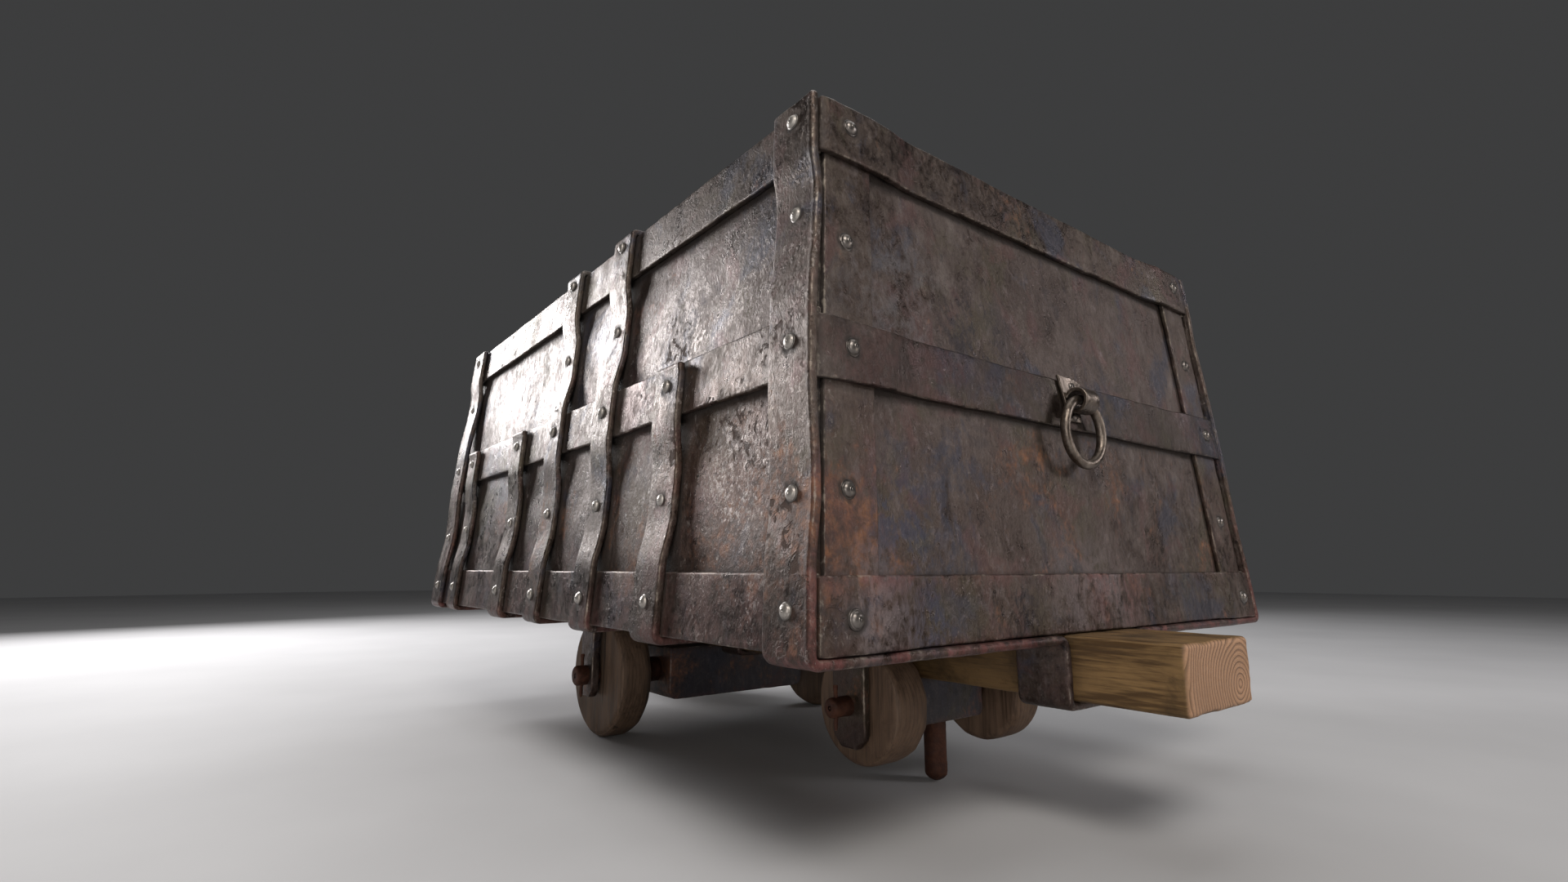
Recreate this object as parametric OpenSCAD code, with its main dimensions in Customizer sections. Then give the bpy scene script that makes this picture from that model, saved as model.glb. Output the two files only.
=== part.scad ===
// Small iron-strapped mine cart with wooden disc wheels and a guide pin.
// +X is the direction of travel, towards the end with the ring. +Z is up.
// Origin: on the floor, below the middle of the box.

/* [Box] */
// Height of the box walls
box_h = 510; // [480:5:540]
// Outside length of the box at its lower edge, over the bands
box_l = 1200; // [1150:5:1260]
// Outside width of the box at its lower edge, over the bands
box_w = 818; // [800:2:840]
// How much shorter the box is at the top than at the bottom
taper_l = 82; // [60:2:100]
// How much narrower the box is at the top than at the bottom
taper_w = 84; // [60:2:100]
// Thickness of the iron sheets
sheet = 5; // [4:0.5:6]
// Height of the box's lower edge above the floor
deck_z = 203; // [201:0.5:206]

/* [Straps and bands] */
// Thickness of the horizontal bands
band_t = 8; // [7:0.5:9]
// Thickness of the upright straps and hoops
strap_t = 9; // [7:0.5:10]
// Thickness of the strips on the two ends
strip_t = 6; // [5:0.5:7]
// Width of the upright straps
strap_w = 55; // [48:1:60]
// Width of the hoops at the corners
corner_w = 64; // [58:1:68]
// Centre of the forward hoop along the cart
hoop_x1 = 153; // [140:1:165]
// Centre of the middle hoop along the cart
hoop_x2 = -20; // [-25:1:-15]
// Centre of the front half strap
half_x1 = 326; // [315:1:340]
// Centre of the middle half strap
half_x2 = -184; // [-195:1:-180]
// Centre of the rear half strap
half_x3 = -449; // [-465:1:-435]

/* [Rivets] */
// Diameter of a rivet's shank
rivet_d = 10; // [8:0.5:11]
// Diameter of a rivet's head
head_d = 18; // [16:0.5:20]
// Height of a rivet's head
head_h = 6; // [4:0.5:7]

/* [Floor and beam] */
// Thickness of the floor planks
plank_t = 25; // [20:1:30]
// Gap between two floor planks
plank_gap = 2; // [1:0.5:4]
// Width of the long beam
beam_w = 140; // [130:2:150]
// Height of the long beam
beam_h = 66; // [60:1:70]
// Length of the long beam
beam_l = 1420; // [1380:5:1460]

/* [Front wheels] */
// Position of the front axle along the cart
front_x = 351; // [345:1:357]
// Height of the front axle
front_z = 108.6; // [104:0.2:112]
// Radius of a front wheel
front_r = 71.5; // [66:0.5:76]
// Distance from the middle of the cart to a front wheel's inner face
front_y = 85.5; // [84:0.5:90]
// Thickness of a front wheel
front_t = 56; // [50:1:57]
// Diameter of a front axle
front_d = 24; // [20:1:26]

/* [Rear wheels] */
// Position of the rear axle along the cart
rear_x = -152; // [-156:1:-148]
// Radius of a rear wheel, which stands on the floor
rear_r = 98.5; // [96:0.5:99]
// Distance from the middle of the cart to a rear wheel's inner face
rear_y = 196; // [190:1:198]
// Thickness of a rear wheel
rear_t = 57; // [50:1:58]
// Diameter of a rear axle
rear_d = 32; // [28:1:34]

/* [Guide pin and ring] */
// Diameter of the guide pin below the front axle block
pin_d = 30; // [26:1:32]
// Outside diameter of the ring
ring_d = 87; // [83:1:90]
// Diameter of the ring's wire
ring_wire = 12; // [11:0.5:12.5]

/* [Hidden] */
$fn = 48;
eps = 0.05;
zt = deck_z + box_h;
tx = taper_l / 2 / box_h;
ty = taper_w / 2 / box_h;
ax = atan(tx);
ay = atan(ty);
// Horizontal places of the end and side walls at a height z, o outside the bands' outer face
function xs(z, o) = box_l / 2 + o - (z - deck_z) * tx;
function ys(z, o) = box_w / 2 + o - (z - deck_z) * ty;
// Bands, as heights above the lower edge
SB = [[0, 64], [232, 292], [447, 510]];
EB = [[0, 63], [225, 285], [448, 510]];
// How far an upright strap stands off the sheet, along its height
WAVE = [[0, 0], [68, 0], [82, -2.5], [97, -6], [110, -8], [179, -8], [192, -6], [207, -2.5],
        [221, 0], [296, 0], [310, -2.5], [325, -6], [338, -8], [402, -8], [415, -6],
        [430, -2.5], [443, 0], [510, 0]];
full_rivets = [31, 145, 265, 377, 497];
corner_rivets = [34, 128, 261, 389, 488];
half_rivets = [33, 140, 265];
end_rivet_z = [28, 133, 257.5, 365, 484.5];
half_top = 289;
half_leg = 340;
panel_o = -band_t - sheet;
end_o = -band_t - strip_t;
end_in = end_o - sheet;
flange_in = end_in - sheet;
flange_z = deck_z + 38;
film = 0.03;
beam_b = deck_z - beam_h;
front_block = [66, 61, deck_z - 125];
rear_block = [100, 143, deck_z - 151.5];
front_plate = [56, 10, 60];
rear_plate = [46, 13, 65];
front_plate_y = front_y + front_t + 2.5;
rear_plate_y = rear_y + rear_t + 5;
front_axle_end = 183;
rear_axle_end = 290;
collar_gap = 1.5;
spike_top = deck_z - 8;
knuckle_r = 15;
knuckle_hole = 10;
knuckle_z = deck_z + 257;
knuckle_x = xs(knuckle_z, -strip_t + (knuckle_r + film) / cos(ax));
ring_r = (ring_d - ring_wire) / 2;
ring_drop = ring_r - 1.4;
plank_w = (2 * (box_w / 2 + panel_o - 4) - 4 * plank_gap) / 5;

IRON = [0.24, 0.22, 0.21];
STRAP = [0.33, 0.30, 0.29];
RUST = [0.38, 0.22, 0.17];
STEEL = [0.62, 0.61, 0.60];
BLUE = [0.16, 0.18, 0.22];
WOOD = [0.52, 0.45, 0.37];
BEAM = [0.55, 0.44, 0.30];

// Mirrors a right-hand shape to the left when s is -1
module side(s) { if (s > 0) children(); else mirror([0, 1, 0]) children(); }
module end(s) { if (s > 0) children(); else mirror([1, 0, 0]) children(); }

// A flat outline in Y and Z, extruded from x0 to x1
module along_x(x0, x1) translate([x0, 0, 0]) rotate([90, 0, 90]) linear_extrude(x1 - x0) children();
// A flat outline in X and Z, extruded from y0 to y1
module along_y(y0, y1) translate([0, y1, 0]) rotate([90, 0, 0]) linear_extrude(y1 - y0) children();

// Outline of the cart in X and Z between two heights, o outside the end bands
module long_outline(z0, z1, o) polygon([[-xs(z0, o), z0], [xs(z0, o), z0], [xs(z1, o), z1], [-xs(z1, o), z1]]);
// Outline of the cart in Y and Z between two heights, o outside the side bands
module cross_outline(z0, z1, o) polygon([[-ys(z0, o), z0], [ys(z0, o), z0], [ys(z1, o), z1], [-ys(z1, o), z1]]);

// Axis of a rivet on the left side at x, which meets the bands' outer face at height z above the lower edge; o is outside that face
module at_side(x, z, o) translate([x, ys(deck_z + z, 0), deck_z + z]) rotate([-90 + ay, 0, 0]) translate([0, 0, o * cos(ay)]) children();
// Axis of a rivet on the front at y, the same way
module at_end(y, z, o) translate([xs(deck_z + z, 0), y, deck_z + z]) rotate([0, 90 - ax, 0]) translate([0, 0, o * cos(ax)]) children();

function corner_rivet_x(z) = xs(deck_z + z, -corner_w / 2);
module side_holes() {
    for (x = [hoop_x1, hoop_x2], z = full_rivets) at_side(x, z, -40) cylinder(d = rivet_d + 2 * eps, h = 70);
    for (x = [half_x1, half_x2, half_x3], z = half_rivets) at_side(x, z, -40) cylinder(d = rivet_d + 2 * eps, h = 70);
    for (s = [-1, 1], z = corner_rivets) at_side(s * corner_rivet_x(z), z, -40) cylinder(d = rivet_d + 2 * eps, h = 70);
}
function end_rivet_y(z) = ys(deck_z + z, -38);
module end_holes() for (s = [-1, 1], z = end_rivet_z) at_end(s * end_rivet_y(z), z, -45) cylinder(d = rivet_d + 2 * eps, h = 70);
module staple_holes() {
    at_end(0, 240, -45) cylinder(d = 6 + 2 * eps, h = 70);
    at_end(2, 277, -45) cylinder(d = 6 + 2 * eps, h = 70);
}

// Side sheet with a flange turned in behind each end sheet
module side_sheet() difference() {
    union() {
        intersection() {
            along_x(-box_l, box_l) polygon([[ys(deck_z, -band_t - film), deck_z], [ys(zt, -band_t - film), zt],
                [ys(zt, panel_o), zt], [ys(deck_z, panel_o), deck_z]]);
            along_y(0, box_w) long_outline(deck_z, zt, end_o);
        }
        for (s = [-1, 1]) end(s) intersection() {
            along_y(0, box_w) polygon([[xs(flange_z, end_in), flange_z], [xs(zt, end_in), zt],
                [xs(zt, flange_in), zt], [xs(flange_z, flange_in), flange_z]]);
            along_x(0, box_l) polygon([[ys(flange_z, panel_o + 1), flange_z], [ys(zt, panel_o + 1), zt],
                [ys(zt, panel_o - 45), zt], [ys(flange_z, panel_o - 45), flange_z]]);
        }
    }
    side_holes();
    for (s = [-1, 1]) end(s) end_holes();
}
module end_sheet() difference() {
    intersection() {
        along_y(-box_w, box_w) polygon([[xs(deck_z, end_o - film), deck_z], [xs(zt, end_o - film), zt],
            [xs(zt, end_in), zt], [xs(deck_z, end_in), deck_z]]);
        along_x(0, box_l) cross_outline(deck_z, zt, panel_o);
    }
    end_holes();
    children();
}

module plank(i) color(WOOD) difference() {
    y0 = -2.5 * plank_w - 2 * plank_gap + (i - 1) * (plank_w + plank_gap);
    translate([-572, y0, deck_z]) cube([1144, plank_w, plank_t]);
    for (s = [-1, 1]) side(s) bracket_rivet_places() translate([0, 0, -20]) cylinder(d = rivet_d + 2 * eps, h = 60);
}

module side_band(b) color(STRAP) difference() {
    z0 = deck_z + SB[b][0];
    z1 = deck_z + SB[b][1];
    intersection() {
        along_x(-box_l, box_l) polygon([[ys(z0, 0), z0], [ys(z1, 0), z1], [ys(z1, -band_t), z1], [ys(z0, -band_t), z0]]);
        along_y(0, box_w) long_outline(z0, z1, -band_t);
    }
    side_holes();
}
// Band on an end: it lies over the two strips and is set back to the sheet between them
module end_band(b) color(STRAP) difference() {
    z0 = deck_z + EB[b][0];
    z1 = deck_z + EB[b][1];
    cut = b == 1 ? 0 : -3;
    intersection() {
        along_y(-box_w, box_w) polygon([[xs(z0, 0), z0], [xs(z1, 0), z1], [xs(z1, end_o), z1], [xs(z0, end_o), z0]]);
        along_x(0, box_l) cross_outline(z0, z1, cut);
        union() {
            for (s = [-1, 1]) side(s) along_x(0, box_l) polygon([[ys(z0, -72), z0], [ys(z0, 9), z0], [ys(z1, 9), z1], [ys(z1, -72), z1]]);
            translate([0, -300, z0]) cube([box_l, 600, z1 - z0]);
            along_x(0, box_l) cross_outline(z0, z1, -66);
        }
    }
    // the strips' own space
    for (s = [-1, 1]) side(s) intersection() {
        along_y(0, box_w) polygon([[xs(z0 - 2, -band_t), z0 - 2], [xs(z1 + 2, -band_t), z1 + 2], [xs(z1 + 2, end_o - 9), z1 + 2], [xs(z0 - 2, end_o - 9), z0 - 2]]);
        along_x(0, box_l) polygon([[ys(z0 - 2, -72), z0 - 2], [ys(z0 - 2, 9), z0 - 2], [ys(z1 + 2, 9), z1 + 2], [ys(z1 + 2, -72), z1 + 2]]);
    }
    // the step back between the strips
    intersection() {
        along_y(-box_w, box_w) polygon([[xs(z0 - 2, -strip_t), z0 - 2], [xs(z1 + 2, -strip_t), z1 + 2], [xs(z1 + 2, 9), z1 + 2], [xs(z0 - 2, 9), z0 - 2]]);
        along_x(0, box_l) cross_outline(z0 - 2, z1 + 2, -86);
    }
    end_holes();
    children();
}
module end_strip() color(STRAP) difference() {
    intersection() {
        along_y(0, box_w) polygon([[xs(deck_z, -band_t), deck_z], [xs(zt, -band_t), zt], [xs(zt, end_o), zt], [xs(deck_z, end_o), deck_z]]);
        along_x(0, box_l) polygon([[ys(deck_z, -70), deck_z], [ys(deck_z, -band_t), deck_z], [ys(zt, -band_t), zt], [ys(zt, -66), zt]]);
    }
    end_holes();
}

// Outside and inside lines of an upright strap, from the top down, on the left side
function strap_out(top) = [for (i = [len(WAVE) - 1:-1:1]) if (WAVE[i][0] <= top) [ys(deck_z + WAVE[i][0], WAVE[i][1] + strap_t), deck_z + WAVE[i][0]]];
function strap_in(top) = [for (i = [1:len(WAVE) - 1]) if (WAVE[i][0] <= top) [ys(deck_z + WAVE[i][0], WAVE[i][1]), deck_z + WAVE[i][0]]];
function arc(cy, cz, r, a0, a1) = [for (i = [0:6]) [cy + r * cos(a0 + (a1 - a0) * i / 6), cz + r * sin(a0 + (a1 - a0) * i / 6)]];
function flip(p) = [for (i = [len(p) - 1:-1:0]) [-p[i][0], p[i][1]]];

// Half of a hoop's outer line: down the side, round the lower corner and round the beam
function hoop_out(curl) = concat(curl ? [[ys(zt, 0) , zt + strap_t], [ys(zt, strap_t) - 3, zt + strap_t - 1.5], [ys(zt, strap_t), zt + 3]] : [],
    strap_out(510),
    arc(ys(deck_z + 3, 0) - 3, deck_z + 3, 12, 0, -90),
    arc(beam_w / 2 + strap_t + 8, deck_z - strap_t - 8, 8, 90, 180),
    arc(beam_w / 2 - 1, beam_b + 1, 10, 0, -90));
function hoop_in(curl) = concat([[0, beam_b], [beam_w / 2, beam_b], [beam_w / 2, deck_z], [ys(deck_z, 0), deck_z]],
    strap_in(510),
    curl ? [[ys(zt, 0), zt], [ys(zt, panel_o), zt], [ys(zt - 30, panel_o), zt - 30],
        [ys(zt - 30, panel_o - strap_t), zt - 30], [ys(zt, panel_o - strap_t), zt + strap_t - 4],
        [ys(zt, panel_o - strap_t + 4), zt + strap_t]] : []);
// The whole section: outer line left to right, then the inner line back under the beam
module hoop_outline(curl) polygon(concat(hoop_out(curl), flip(hoop_out(curl)), hoop_in_full(curl)));
function hoop_in_full(curl) = concat(flip(hoop_in(curl)), [for (i = [1:len(hoop_in(curl)) - 1]) hoop_in(curl)[i]]);
module hoop(x, curl) color(STRAP) difference() {
    along_x(x - strap_w / 2, x + strap_w / 2) hoop_outline(curl);
    for (s = [-1, 1]) side(s) side_holes();
}
module corner_hoop() color(STRAP) difference() {
    intersection() {
        along_x(0, box_l) hoop_outline(false);
        along_y(-box_w, box_w) polygon([[xs(deck_z, -corner_w), 0], [xs(deck_z, 0), 0], [xs(deck_z, 0), deck_z], [xs(zt, 0), zt],
            [xs(zt, -corner_w), zt], [xs(deck_z, -corner_w), deck_z]]);
    }
    for (s = [-1, 1]) side(s) side_holes();
}
module half_strap(x) color(STRAP) difference() {
    along_x(x - strap_w / 2, x + strap_w / 2) polygon(concat(
        [[ys(deck_z + half_top, strap_t), deck_z + half_top]], strap_out(half_top),
        arc(ys(deck_z + 3, 0) - 3, deck_z + 3, 12, 0, -90),
        [[half_leg, deck_z - strap_t], [half_leg, deck_z], [ys(deck_z, 0), deck_z]],
        strap_in(half_top), [[ys(deck_z + half_top, 0), deck_z + half_top]]));
    side_holes();
}

// Rounded rectangle for a beam's section
module rounded(w, h, r) union() {
    translate([-w / 2 + r, 0]) square([w - 2 * r, h]);
    translate([-w / 2, r]) square([w, h - 2 * r]);
    for (x = [-w / 2 + r, w / 2 - r], y = [r, h - r]) translate([x, y]) circle(r = r);
}
module long_beam() color(BEAM) difference() {
    along_x(-beam_l / 2, beam_l / 2) translate([0, beam_b]) rounded(beam_w, beam_h, 5);
    translate([front_x, 0, beam_b - 5]) cylinder(d = 20 + 2 * eps, h = spike_top - beam_b + 5);
    translate([rear_x, 0, beam_b - 5]) cylinder(d = 16 + 2 * eps, h = spike_top - beam_b + 5);
}
// Block under the beam with rounded lower corners; b is [length along X, half width, lower face]
module axle_block(x, b, r) along_x(x - b[0] / 2, x + b[0] / 2) polygon(concat(
    [[-b[1], beam_b]], arc(-b[1] + r, b[2] + r, r, 180, 270), arc(b[1] - r, b[2] + r, r, 270, 360), [[b[1], beam_b]]));
module front_axle_block() color(BLUE) difference() {
    axle_block(front_x, front_block, 10);
    translate([front_x, 0, 0]) cylinder(d = 20 + 2 * eps, h = deck_z);
    for (s = [-1, 1]) side(s) translate([front_x, 17, front_z]) rotate([-90, 0, 0]) cylinder(d = front_d + 2 * eps, h = 100);
}
module rear_axle_block() color(BLUE) difference() {
    axle_block(rear_x, rear_block, 16);
    translate([rear_x, 0, 0]) cylinder(d = 16 + 2 * eps, h = deck_z);
    for (s = [-1, 1]) side(s) translate([rear_x, 57, rear_r]) rotate([-90, 0, 0]) cylinder(d = rear_d + 2 * eps, h = 200);
}
// Stub axle: seat in the block, collar, journal, and the end with its linchpin hole
module stub(x, z, d, y0, yc, yw, y1, yp, pd) color(RUST) difference() {
    translate([x, 0, z]) rotate([-90, 0, 0]) {
        translate([0, 0, y0]) cylinder(d = d, h = y1 - y0 - 2);
        translate([0, 0, yc + 0.1]) cylinder(d = d + 10, h = yw - collar_gap - yc - 0.1);
        translate([0, 0, y1 - 2]) cylinder(d1 = d, d2 = d - 4, h = 2);
    }
    translate([x, yp, z - 40]) cylinder(d = pd + 2 * eps, h = 80);
}
module front_axle() stub(front_x, front_z, front_d, 20, front_block[1], front_y, front_axle_end, front_axle_end - 10, 6);
module rear_axle() stub(rear_x, rear_r, rear_d, 60, rear_block[1], rear_y, rear_axle_end, rear_axle_end - 12, 7);
module linchpins() color(RUST) for (s = [-1, 1]) side(s) {
    translate([front_x, front_axle_end - 10, front_z - 26]) cylinder(d = 6, h = 52);
    translate([rear_x, rear_axle_end - 12, rear_r - 34]) cylinder(d = 7, h = 68);
}
// Wooden disc wheel with worn round edges, ro outside and ri inside
module wheel(x, z, r, y, t, d, ro, ri) color(WOOD) translate([x, y, z]) rotate([-90, 0, 0]) rotate_extrude($fn = 96)
    polygon(concat([[d / 2 + eps, 0]], [for (i = [0:5]) [r - ri + ri * sin(i * 18), ri - ri * cos(i * 18)]],
        [for (i = [0:5]) [r - ro + ro * cos(i * 18), t - ro + ro * sin(i * 18)]], [[d / 2 + eps, t]]));
module front_wheel() wheel(front_x, front_z, front_r, front_y, front_t, front_d, 9, 9);
module rear_wheel() wheel(rear_x, rear_r, rear_r, rear_y, rear_t, rear_d, 10, 18);

module bracket_rivet_places() {
    for (x = [-15, 15]) translate([front_x + x, front_plate_y + front_plate[1] + 28, deck_z]) children();
    for (x = [-12, 12]) translate([rear_x + x, rear_plate_y + rear_plate[1] + 30, deck_z]) children();
}
module bracket(x, y, p, d, z, foot, cut) color(STRAP) difference() {
    union() {
        along_y(y, y + p[1]) polygon([[x - p[0] / 2, p[2] + cut], [x - p[0] / 2 + cut, p[2]], [x + p[0] / 2 - cut, p[2]], [x + p[0] / 2, p[2] + cut],
            [x + p[0] / 2, deck_z], [x - p[0] / 2, deck_z]]);
        translate([x - p[0] / 2, y, deck_z - p[1]]) cube([p[0], p[1] + foot, p[1]]);
    }
    translate([x, y - 5, z]) rotate([-90, 0, 0]) cylinder(d = d + 2 * eps, h = p[1] + 10);
    bracket_rivet_places() translate([0, 0, -40]) cylinder(d = rivet_d + 2 * eps, h = 60);
}
module front_bracket() bracket(front_x, front_plate_y, front_plate, front_d, front_z, 54, 15);
module rear_bracket() bracket(rear_x, rear_plate_y, rear_plate, rear_d, rear_r, 58, 10);

module guide_pin() color(RUST) translate([front_x, 0, 0]) union() {
    intersection() {
        translate([0, 0, 17]) sphere(r = 17, $fn = 64);
        cylinder(d = pin_d, h = 20);
    }
    translate([0, 0, 17]) cylinder(d = pin_d, h = front_block[2] - 17);
    translate([0, 0, front_block[2]]) cylinder(d = 20, h = spike_top - 2 - front_block[2]);
}
module king_bolt() color(RUST) translate([rear_x, 0, 0]) union() {
    translate([0, 0, rear_block[2]]) rotate([180, 0, 0]) dome(28, 6);
    translate([0, 0, rear_block[2] - 1]) cylinder(d = 16, h = spike_top - 2 - rear_block[2] + 1);
}

// Domed head standing on z = 0
module dome(d, h) {
    r = (d * d / 4 + h * h) / (2 * h);
    intersection() {
        translate([0, 0, h - r]) sphere(r = r, $fn = 48);
        cylinder(d = d, h = h);
    }
}
// Rivet through n millimetres, with its outer head on z = 0
module rivet(n, d = rivet_d, hd = head_d, hh = head_h) union() {
    dome(hd, hh);
    translate([0, 0, -n]) cylinder(d = d, h = n + 1);
    translate([0, 0, -n]) rotate([180, 0, 0]) dome(hd - 3, 3.5);
}
module side_rivets() color(STEEL) for (s = [-1, 1]) side(s) {
    for (x = [hoop_x1, hoop_x2]) {
        for (z = [31, 265]) at_side(x, z, strap_t) rivet(strap_t + band_t + sheet);
        for (z = [145, 377]) at_side(x, z, strap_t - 8) rivet(strap_t + sheet);
        at_side(x, 497, strap_t) rivet(2 * strap_t + band_t + sheet);
    }
    for (x = [half_x1, half_x2, half_x3]) {
        for (z = [33, 265]) at_side(x, z, strap_t) rivet(strap_t + band_t + sheet);
        at_side(x, 140, strap_t - 8) rivet(strap_t + sheet);
    }
    for (e = [-1, 1]) {
        for (z = [34, 261, 488]) at_side(e * corner_rivet_x(z), z, strap_t) rivet(strap_t + band_t + sheet);
        for (z = [128, 389]) at_side(e * corner_rivet_x(z), z, strap_t - 8) rivet(strap_t + sheet);
    }
}
module end_rivets() color(STEEL) {
    for (e = [-1, 1]) end(e) for (s = [-1, 1]) {
        at_end(s * end_rivet_y(28), 28, 0) rivet(band_t + strip_t + sheet);
        for (z = [257.5, 484.5]) at_end(s * end_rivet_y(z), z, 0) rivet(band_t + strip_t + 2 * sheet);
        for (z = [133, 365]) at_end(s * end_rivet_y(z), z, -band_t) rivet(strip_t + 2 * sheet);
    }
    at_end(0, 240, -strip_t + (4 + 2 * film) / cos(ax)) rivet(4 + band_t + sheet, 6, 10, 3.5);
    at_end(2, 277, -strip_t + (4 + 2 * film) / cos(ax)) rivet(4 + band_t + sheet, 6, 12, 4);
}
module bracket_rivets() color(RUST) for (s = [-1, 1]) side(s) {
    for (x = [-15, 15]) translate([front_x + x, front_plate_y + front_plate[1] + 28, deck_z - front_plate[1]]) rotate([180, 0, 0]) rivet(front_plate[1] + plank_t);
    for (x = [-12, 12]) translate([rear_x + x, rear_plate_y + rear_plate[1] + 30, deck_z - rear_plate[1]]) rotate([180, 0, 0]) rivet(rear_plate[1] + plank_t);
}

// Folded strap on the front's middle band: two leaves and the eye that holds the ring
module staple() color(RUST) difference() {
    translate([knuckle_x, 0, knuckle_z]) rotate([0, -ax, 0]) difference() {
        union() {
            rotate([90, 0, 0]) cylinder(r = knuckle_r, h = 30, center = true);
            translate([-knuckle_r, 0, 0]) rotate([90, 0, 90]) linear_extrude(4)
                polygon([[-14, -22], [14, -22], [15, 0], [22, 27], [2, 31], [-24, 33], [-15, 0]]);
        }
        rotate([90, 0, 0]) cylinder(r = knuckle_hole, h = 60, center = true);
    }
    staple_holes();
}
module ring() color(RUST) translate([knuckle_x, 0, knuckle_z - ring_drop]) rotate([0, 90, 0])
    rotate_extrude($fn = 96) translate([ring_r, 0]) circle(d = ring_wire, $fn = 32);

color(IRON) side_sheet();  // left_side_panel
color(IRON) side(-1) side_sheet();  // right_side_panel
color(IRON) end_sheet() staple_holes();  // front_panel
color(IRON) end(-1) end_sheet();  // rear_panel
plank(1);  // floor_plank_1
plank(2);  // floor_plank_2
plank(3);  // floor_plank_3
plank(4);  // floor_plank_4
plank(5);  // floor_plank_5
side_band(2);  // left_top_band
side_band(1);  // left_mid_band
side_band(0);  // left_bottom_band
side(-1) side_band(2);  // right_top_band
side(-1) side_band(1);  // right_mid_band
side(-1) side_band(0);  // right_bottom_band
end_band(2);  // front_top_band
end_band(1) staple_holes();  // front_mid_band
end_band(0);  // front_bottom_band
end(-1) end_band(2);  // rear_top_band
end(-1) end_band(1);  // rear_mid_band
end(-1) end_band(0);  // rear_bottom_band
end_strip();  // front_left_strip
side(-1) end_strip();  // front_right_strip
end(-1) end_strip();  // rear_left_strip
end(-1) side(-1) end_strip();  // rear_right_strip
corner_hoop();  // front_corner_hoop
hoop(hoop_x1, true);  // forward_hoop
hoop(hoop_x2, true);  // middle_hoop
end(-1) corner_hoop();  // rear_corner_hoop
half_strap(half_x1);  // left_front_strap
half_strap(half_x2);  // left_middle_strap
half_strap(half_x3);  // left_rear_strap
side(-1) half_strap(half_x1);  // right_front_strap
side(-1) half_strap(half_x2);  // right_middle_strap
side(-1) half_strap(half_x3);  // right_rear_strap
long_beam();
front_axle_block();
rear_axle_block();
front_axle();  // front_left_axle
side(-1) front_axle();  // front_right_axle
rear_axle();  // rear_left_axle
side(-1) rear_axle();  // rear_right_axle
front_wheel();  // front_left_wheel
side(-1) front_wheel();  // front_right_wheel
rear_wheel();  // rear_left_wheel
side(-1) rear_wheel();  // rear_right_wheel
front_bracket();  // front_left_bracket
side(-1) front_bracket();  // front_right_bracket
rear_bracket();  // rear_left_bracket
side(-1) rear_bracket();  // rear_right_bracket
linchpins();
guide_pin();
king_bolt();
staple();
ring();
side_rivets();
end_rivets();
bracket_rivets();
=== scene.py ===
import math

import bpy
import numpy as np
from mathutils import Matrix, Vector


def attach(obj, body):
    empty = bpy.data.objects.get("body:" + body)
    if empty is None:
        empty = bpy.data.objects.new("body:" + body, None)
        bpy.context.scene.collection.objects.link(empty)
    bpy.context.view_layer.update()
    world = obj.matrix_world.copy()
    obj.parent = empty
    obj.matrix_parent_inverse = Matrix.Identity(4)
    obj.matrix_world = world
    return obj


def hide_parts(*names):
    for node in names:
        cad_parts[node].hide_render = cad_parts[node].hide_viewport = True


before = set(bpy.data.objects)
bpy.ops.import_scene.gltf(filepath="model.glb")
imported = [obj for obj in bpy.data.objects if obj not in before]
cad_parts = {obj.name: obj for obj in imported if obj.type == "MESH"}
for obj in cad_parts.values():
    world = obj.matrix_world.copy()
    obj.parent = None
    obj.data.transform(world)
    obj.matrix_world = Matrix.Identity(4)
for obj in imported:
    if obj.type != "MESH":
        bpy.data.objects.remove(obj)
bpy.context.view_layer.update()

# ---------------------------------------------------------------- sizes, in mm, in the row frame
DECK, BOX_H, ZT = 203.0, 510.0, 713.0
TX, TY = 41.0 / 510.0, 42.0 / 510.0
AX, AY = math.atan(TX), math.atan(TY)
BAND, SHEET, STRAP, STRIP = 8.0, 5.0, 9.0, 6.0
PANEL_O, END_O = -13.0, -14.0
END_IN = END_O - SHEET
FLANGE_IN = END_IN - SHEET
HOOPS = (153.0, -20.0)
HALVES = ((326.0, "front"), (-184.0, "middle"), (-449.0, "rear"))
FRONT_X, FRONT_Z, FRONT_R, FRONT_Y, FRONT_T = 351.0, 108.6, 71.5, 85.5, 56.0
REAR_X, REAR_R, REAR_Y, REAR_T = -152.0, 98.5, 196.0, 57.0


def xs(z, o=0.0):
    return 600.0 + o - (z - DECK) * TX


def ys(z, o=0.0):
    return 409.0 + o - (z - DECK) * TY


def step(x, a, b):
    t = np.clip((x - a) / (b - a), 0.0, 1.0)
    return t * t * (3 - 2 * t)


def wave(z):
    """How far an upright strap stands off the bands' outer face at height z."""
    u = z - DECK
    return -7.4 * (step(u, 66, 124) - step(u, 168, 230)) - 7.6 * (step(u, 294, 350) - step(u, 396, 446))


# ---------------------------------------------------------------- noise on numpy arrays
def _hash(i, j, k, seed):
    n = ((i * 73856093) ^ (j * 19349663) ^ (k * 83492791) ^ (seed * 2654435)) & 0xFFFFFFFF
    n = ((n ^ (n >> 16)) * 0x45D9F3B) & 0xFFFFFFFF
    n = ((n ^ (n >> 15)) * 0x45D9F3B) & 0xFFFFFFFF
    return ((n ^ (n >> 16)) & 0xFFFFFF) / float(0xFFFFFF)


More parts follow.
